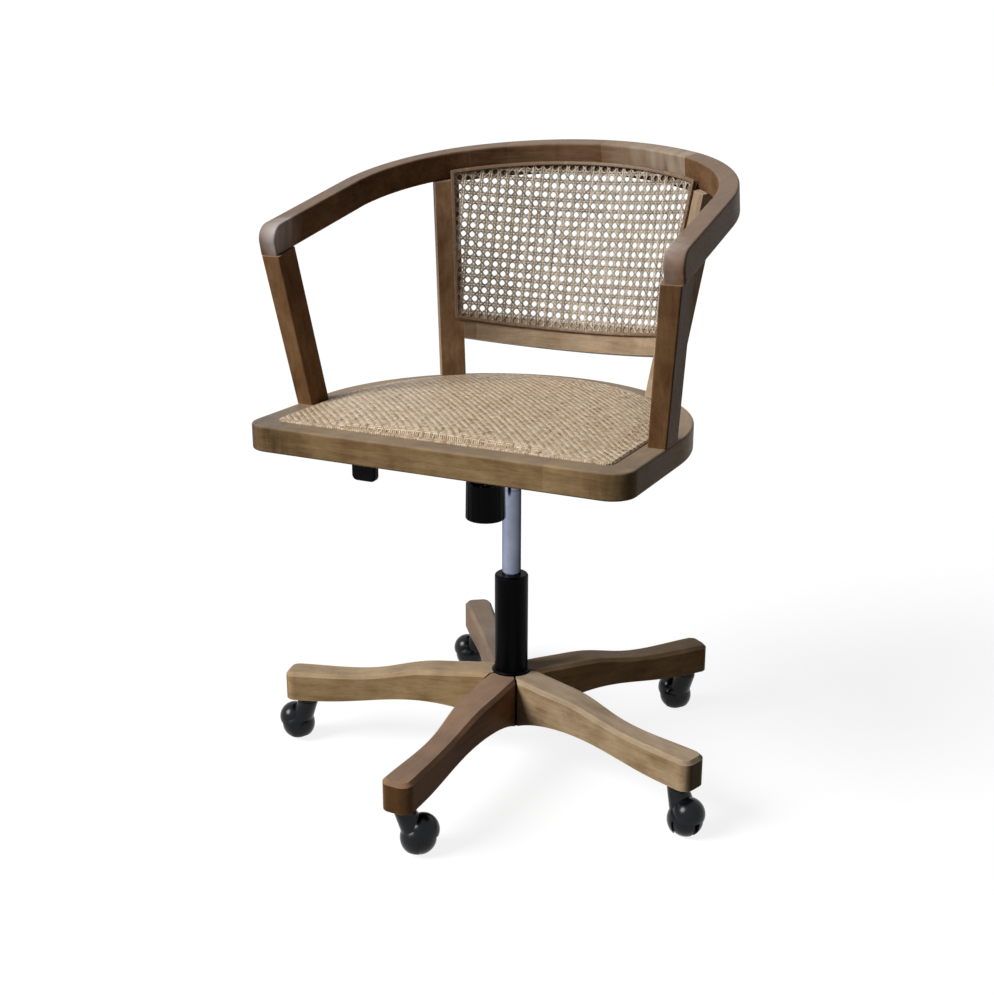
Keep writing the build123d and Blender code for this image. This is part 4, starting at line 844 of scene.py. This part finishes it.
def make_cane():
    """Six-way cane: pairs up and across, and two sets of diagonals that leave eight-sided holes."""
    across, rise = CANE_PITCH
    base = (SEAT_TOP - CONE_APEX_Z) / cos(CONE_TURN)
    _, panel_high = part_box("cane_panel")
    tall = (panel_high.z - SEAT_TOP) / cos(CONE_TURN)
    wide = panel_high.x
    columns = ceil(CANE_WIDE_MARGIN * wide / across)
    rows = ceil(CANE_TALL_MARGIN * tall / rise)
    spread = max(columns, rows)
    strands = []

    def lay(start, end, width, wave):
        """Adds one strand between two cells of the lattice, cut to the panel."""
        count = CANE_STEPS * ceil(hypot(end[0] - start[0], end[1] - start[1])) + 1
        cells = np.linspace(start, end, count)
        flat = cells * np.array(CANE_PITCH) + np.array([CANE_SHIFT[0], base + CANE_SHIFT[1]])
        points, normals, angle = cane_place(flat, wave(cells))
        kept = np.nonzero(inside_panel(points, angle))[0]
        if len(kept) < 4:
            return
        run = slice(kept[0], kept[-1] + 1)
        tone = draw.normal(CANE_TONE, CANE_TONE_SPREAD)
        tones = tone + draw.normal(0.0, CANE_TONE_DRIFT, kept[-1] + 1 - kept[0])
        strands.append((points[run], normals[run], np.clip(tones, 0.0, 1.0), width))

    def arched(axis, lift):
        """A lift at the middle between crossings."""
        return lambda cells: lift * (1 - np.cos(2 * pi * cells[:, axis])) / 2

    def wavy(swing):
        """A swing over one crossing and under the next."""
        return lambda cells: swing * np.cos(2 * pi * cells[:, 0])

    pair = [CANE_PAIR / pitch for pitch in CANE_PITCH]
    for column in range(-columns, columns + 1):
        for side in (-1, 1):
            x = column + 0.5 + side * pair[0]
            lay((x, 0), (x, rows), CANE_PAIR_WIDTH, arched(1, CANE_LEAN))
    for row in range(rows + 1):
        for side in (-1, 1):
            y = row + 0.5 + side * pair[1]
            lay((-columns, y), (columns, y), CANE_PAIR_WIDTH, arched(0, -CANE_LEAN))
    for shift in range(-3 * spread, 3 * spread + 1):
        first = shift + 0.5
        lay((-columns, first + columns), (columns, first - columns), CANE_SLANT_WIDTH, wavy(-CANE_SWING))
        lay((-columns, first - columns), (columns, first + columns), CANE_SLANT_WIDTH, wavy(CANE_SWING))
    mesh = strand_mesh("cane_strands", strands, CANE_THICKNESS)
    cane = strand_finish("cane", srgb(80, 68, 56), srgb(150, 134, 114), srgb(210, 197, 180), 0.45)
    made = piece("cane_strands", mesh, "seat", cane)
    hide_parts("cane_panel")
    bead = strand_finish("cane_bead", srgb(110, 84, 60), srgb(168, 138, 108), srgb(204, 178, 146), 0.45)
    dress(bead, "cane_bead")


def make_rebate():
    """Wood behind the top and bottom rims of the cane, where its edge lies in the rails' rebate."""
    angle = np.linspace(-CANE_HALF_ANGLE, CANE_HALF_ANGLE, REBATE_STEPS)
    run, rise = sin(CONE_TURN), cos(CONE_TURN)
    top_rise = CANE_TOP_Z + CANE_TOP_TILT * BACK_AXIS_Y - CONE_APEX_Z
    top = top_rise / (rise - CANE_TOP_TILT * run * np.cos(angle))
    bottom_rise = CANE_BOTTOM_Z + CANE_BOTTOM_SLOPE * (CANE_BOTTOM_Y - BACK_AXIS_Y) - CONE_APEX_Z
    bottom = bottom_rise / (rise + CANE_BOTTOM_SLOPE * run * np.cos(angle))
    rims = (
        (top - REBATE_TOP_WIDTH / 2, REBATE_TOP_WIDTH),
        (bottom + REBATE_BOTTOM_WIDTH / 2, REBATE_BOTTOM_WIDTH),
    )
    strips = []
    for reach, width in rims:
        turned = angle * run
        flat = np.stack([reach * np.sin(turned), reach * np.cos(turned)], axis=1)
        points, normals, _ = cane_place(flat, np.full(len(angle), -REBATE_DEPTH))
        strips.append((points, normals, np.zeros(len(angle)), width))
    mesh = strand_mesh("cane_rebate", strips, REBATE_THICKNESS)
    bent = round_grain(BACK_AXIS_Y, BACK_RADIUS)
    piece("cane_rebate", mesh, "seat", wood("rebate_wood", bent, CREST_TONES, seed=8.3))


# Tension spring
def make_spring(finish):
    """The spring between the tension knob and the housing."""
    centre = (spring_low + spring_high) / 2
    radius = (spring_high.x - spring_low.x - SPRING_WIRE) / 2
    sides = SPRING_SIDES
    count = SPRING_STEPS * SPRING_TURNS + 1
    turn = np.linspace(0, 2 * pi * SPRING_TURNS, count)
    climb = np.linspace(spring_low.z + SPRING_WIRE / 2, spring_high.z - SPRING_WIRE / 2, count)
    out = np.stack([np.cos(turn), np.sin(turn), np.zeros(count)], axis=1)
    line = radius * out + np.stack([np.full(count, centre.x), np.full(count, centre.y), climb], axis=1)
    up = np.array([0.0, 0.0, 1.0])
    bends = np.linspace(0, 2 * pi, sides, endpoint=False)
    rings = [line + (out * cos(bend) + up * sin(bend)) * SPRING_WIRE / 2 for bend in bends]
    corners = np.stack(rings, axis=1).reshape(-1, 3)
    starts = sides * np.arange(count - 1)
    faces = []
    for side in range(sides):
        other = (side + 1) % sides
        ahead = starts + sides
        faces.append(np.stack([starts + other, starts + side, ahead + side, ahead + other], axis=1))
    for first, order in ((0, 1), (sides * (count - 1), -1)):
        for side in range(1, sides - 1, 2):
            cap = np.array([0, side, side + 1, side + 2])[::order]
            faces.append(first + cap[None, :] % sides)
    mesh = quad_mesh("spring_wire", corners, np.concatenate(faces))
    spring = piece("spring_wire", mesh, "seat", finish)
    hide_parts("tension_spring")
    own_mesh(spring)


# Stage
def seen_directly(tree):
    """1 for what the camera, a mirror or glass sees, 0 for light that falls on surfaces."""
    path = tree.nodes.new("ShaderNodeLightPath")
    total = path.outputs["Is Camera Ray"]
    for other in ("Is Glossy Ray", "Is Transmission Ray"):
        join = tree.nodes.new("ShaderNodeMath")
        join.operation = "MAXIMUM"
        tree.links.new(total, join.inputs[0])
        tree.links.new(path.outputs[other], join.inputs[1])
        total = join.outputs[0]
    return total


def make_floor():
    """A pale floor that shows white and keeps a soft shadow."""
    bpy.ops.mesh.primitive_plane_add(size=2 * FLOOR_REACH)
    ground = bpy.context.object
    ground.name = "floor"
    finish = Finish("pale_floor")
    tree = finish.tree
    tree.nodes.remove(finish.shader)
    lit = finish.node("BsdfDiffuse", {"Color": (FLOOR_SHADE, FLOOR_SHADE, FLOOR_SHADE, 1.0)})
    glow = finish.node("Emission", {"Color": WHITE, "Strength": FLOOR_GLOW})
    shown = finish.node("AddShader", {0: lit.outputs[0], 1: glow.outputs[0]})
    bounce = finish.node("BsdfDiffuse", {"Color": (FLOOR_BOUNCE, FLOOR_BOUNCE, FLOOR_BOUNCE, 1.0)})
    mixed = finish.node("MixShader", {0: seen_directly(tree), 1: bounce.outputs[0], 2: shown.outputs[0]})
    tree.links.new(mixed.outputs[0], tree.nodes["Material Output"].inputs["Surface"])
    ground.data.materials.append(finish.material)


def make_light():
    """One broad key from the front left and an even sky, with a white background."""
    sun = bpy.data.lights.new("key", "SUN")
    sun.energy = KEY_STRENGTH
    sun.angle = radians(KEY_SPREAD)
    lamp = bpy.data.objects.new("key", sun)
    bpy.context.scene.collection.objects.link(lamp)
    lamp.rotation_euler = (radians(90 - KEY_HEIGHT), 0.0, radians(-KEY_ROUND))
    world = bpy.data.worlds.new("studio")
    world.use_nodes = True
    bpy.context.scene.world = world
    tree = world.node_tree
    sky = tree.nodes["Background"]
    sky.inputs["Color"].default_value = SKY_COLOUR
    sky.inputs["Strength"].default_value = SKY_STRENGTH
    white = tree.nodes.new("ShaderNodeBackground")
    white.inputs["Color"].default_value = WHITE
    mixed = tree.nodes.new("ShaderNodeMixShader")
    tree.links.new(seen_directly(tree), mixed.inputs[0])
    tree.links.new(sky.outputs[0], mixed.inputs[1])
    tree.links.new(white.outputs[0], mixed.inputs[2])
    tree.links.new(mixed.outputs[0], tree.nodes["World Output"].inputs["Surface"])


def make_camera():
    """The photograph's view."""
    camera = bpy.data.objects.new("camera", bpy.data.cameras.new("camera"))
    bpy.context.scene.collection.objects.link(camera)
    camera.location = CAMERA_PLACE
    camera.rotation_euler = (radians(90 - CAMERA_DIP), 0.0, radians(CAMERA_ROUND))
    camera.data.lens = CAMERA_LENS
    camera.data.sensor_width = CAMERA_SENSOR
    bpy.context.scene.camera = camera
    bpy.context.scene.view_settings.view_transform = "Standard"


make_camera()
make_light()
make_floor()
dress_wood()
make_spring(dress_metal())
make_cane()
make_rebate()
make_weave(make_cushion())
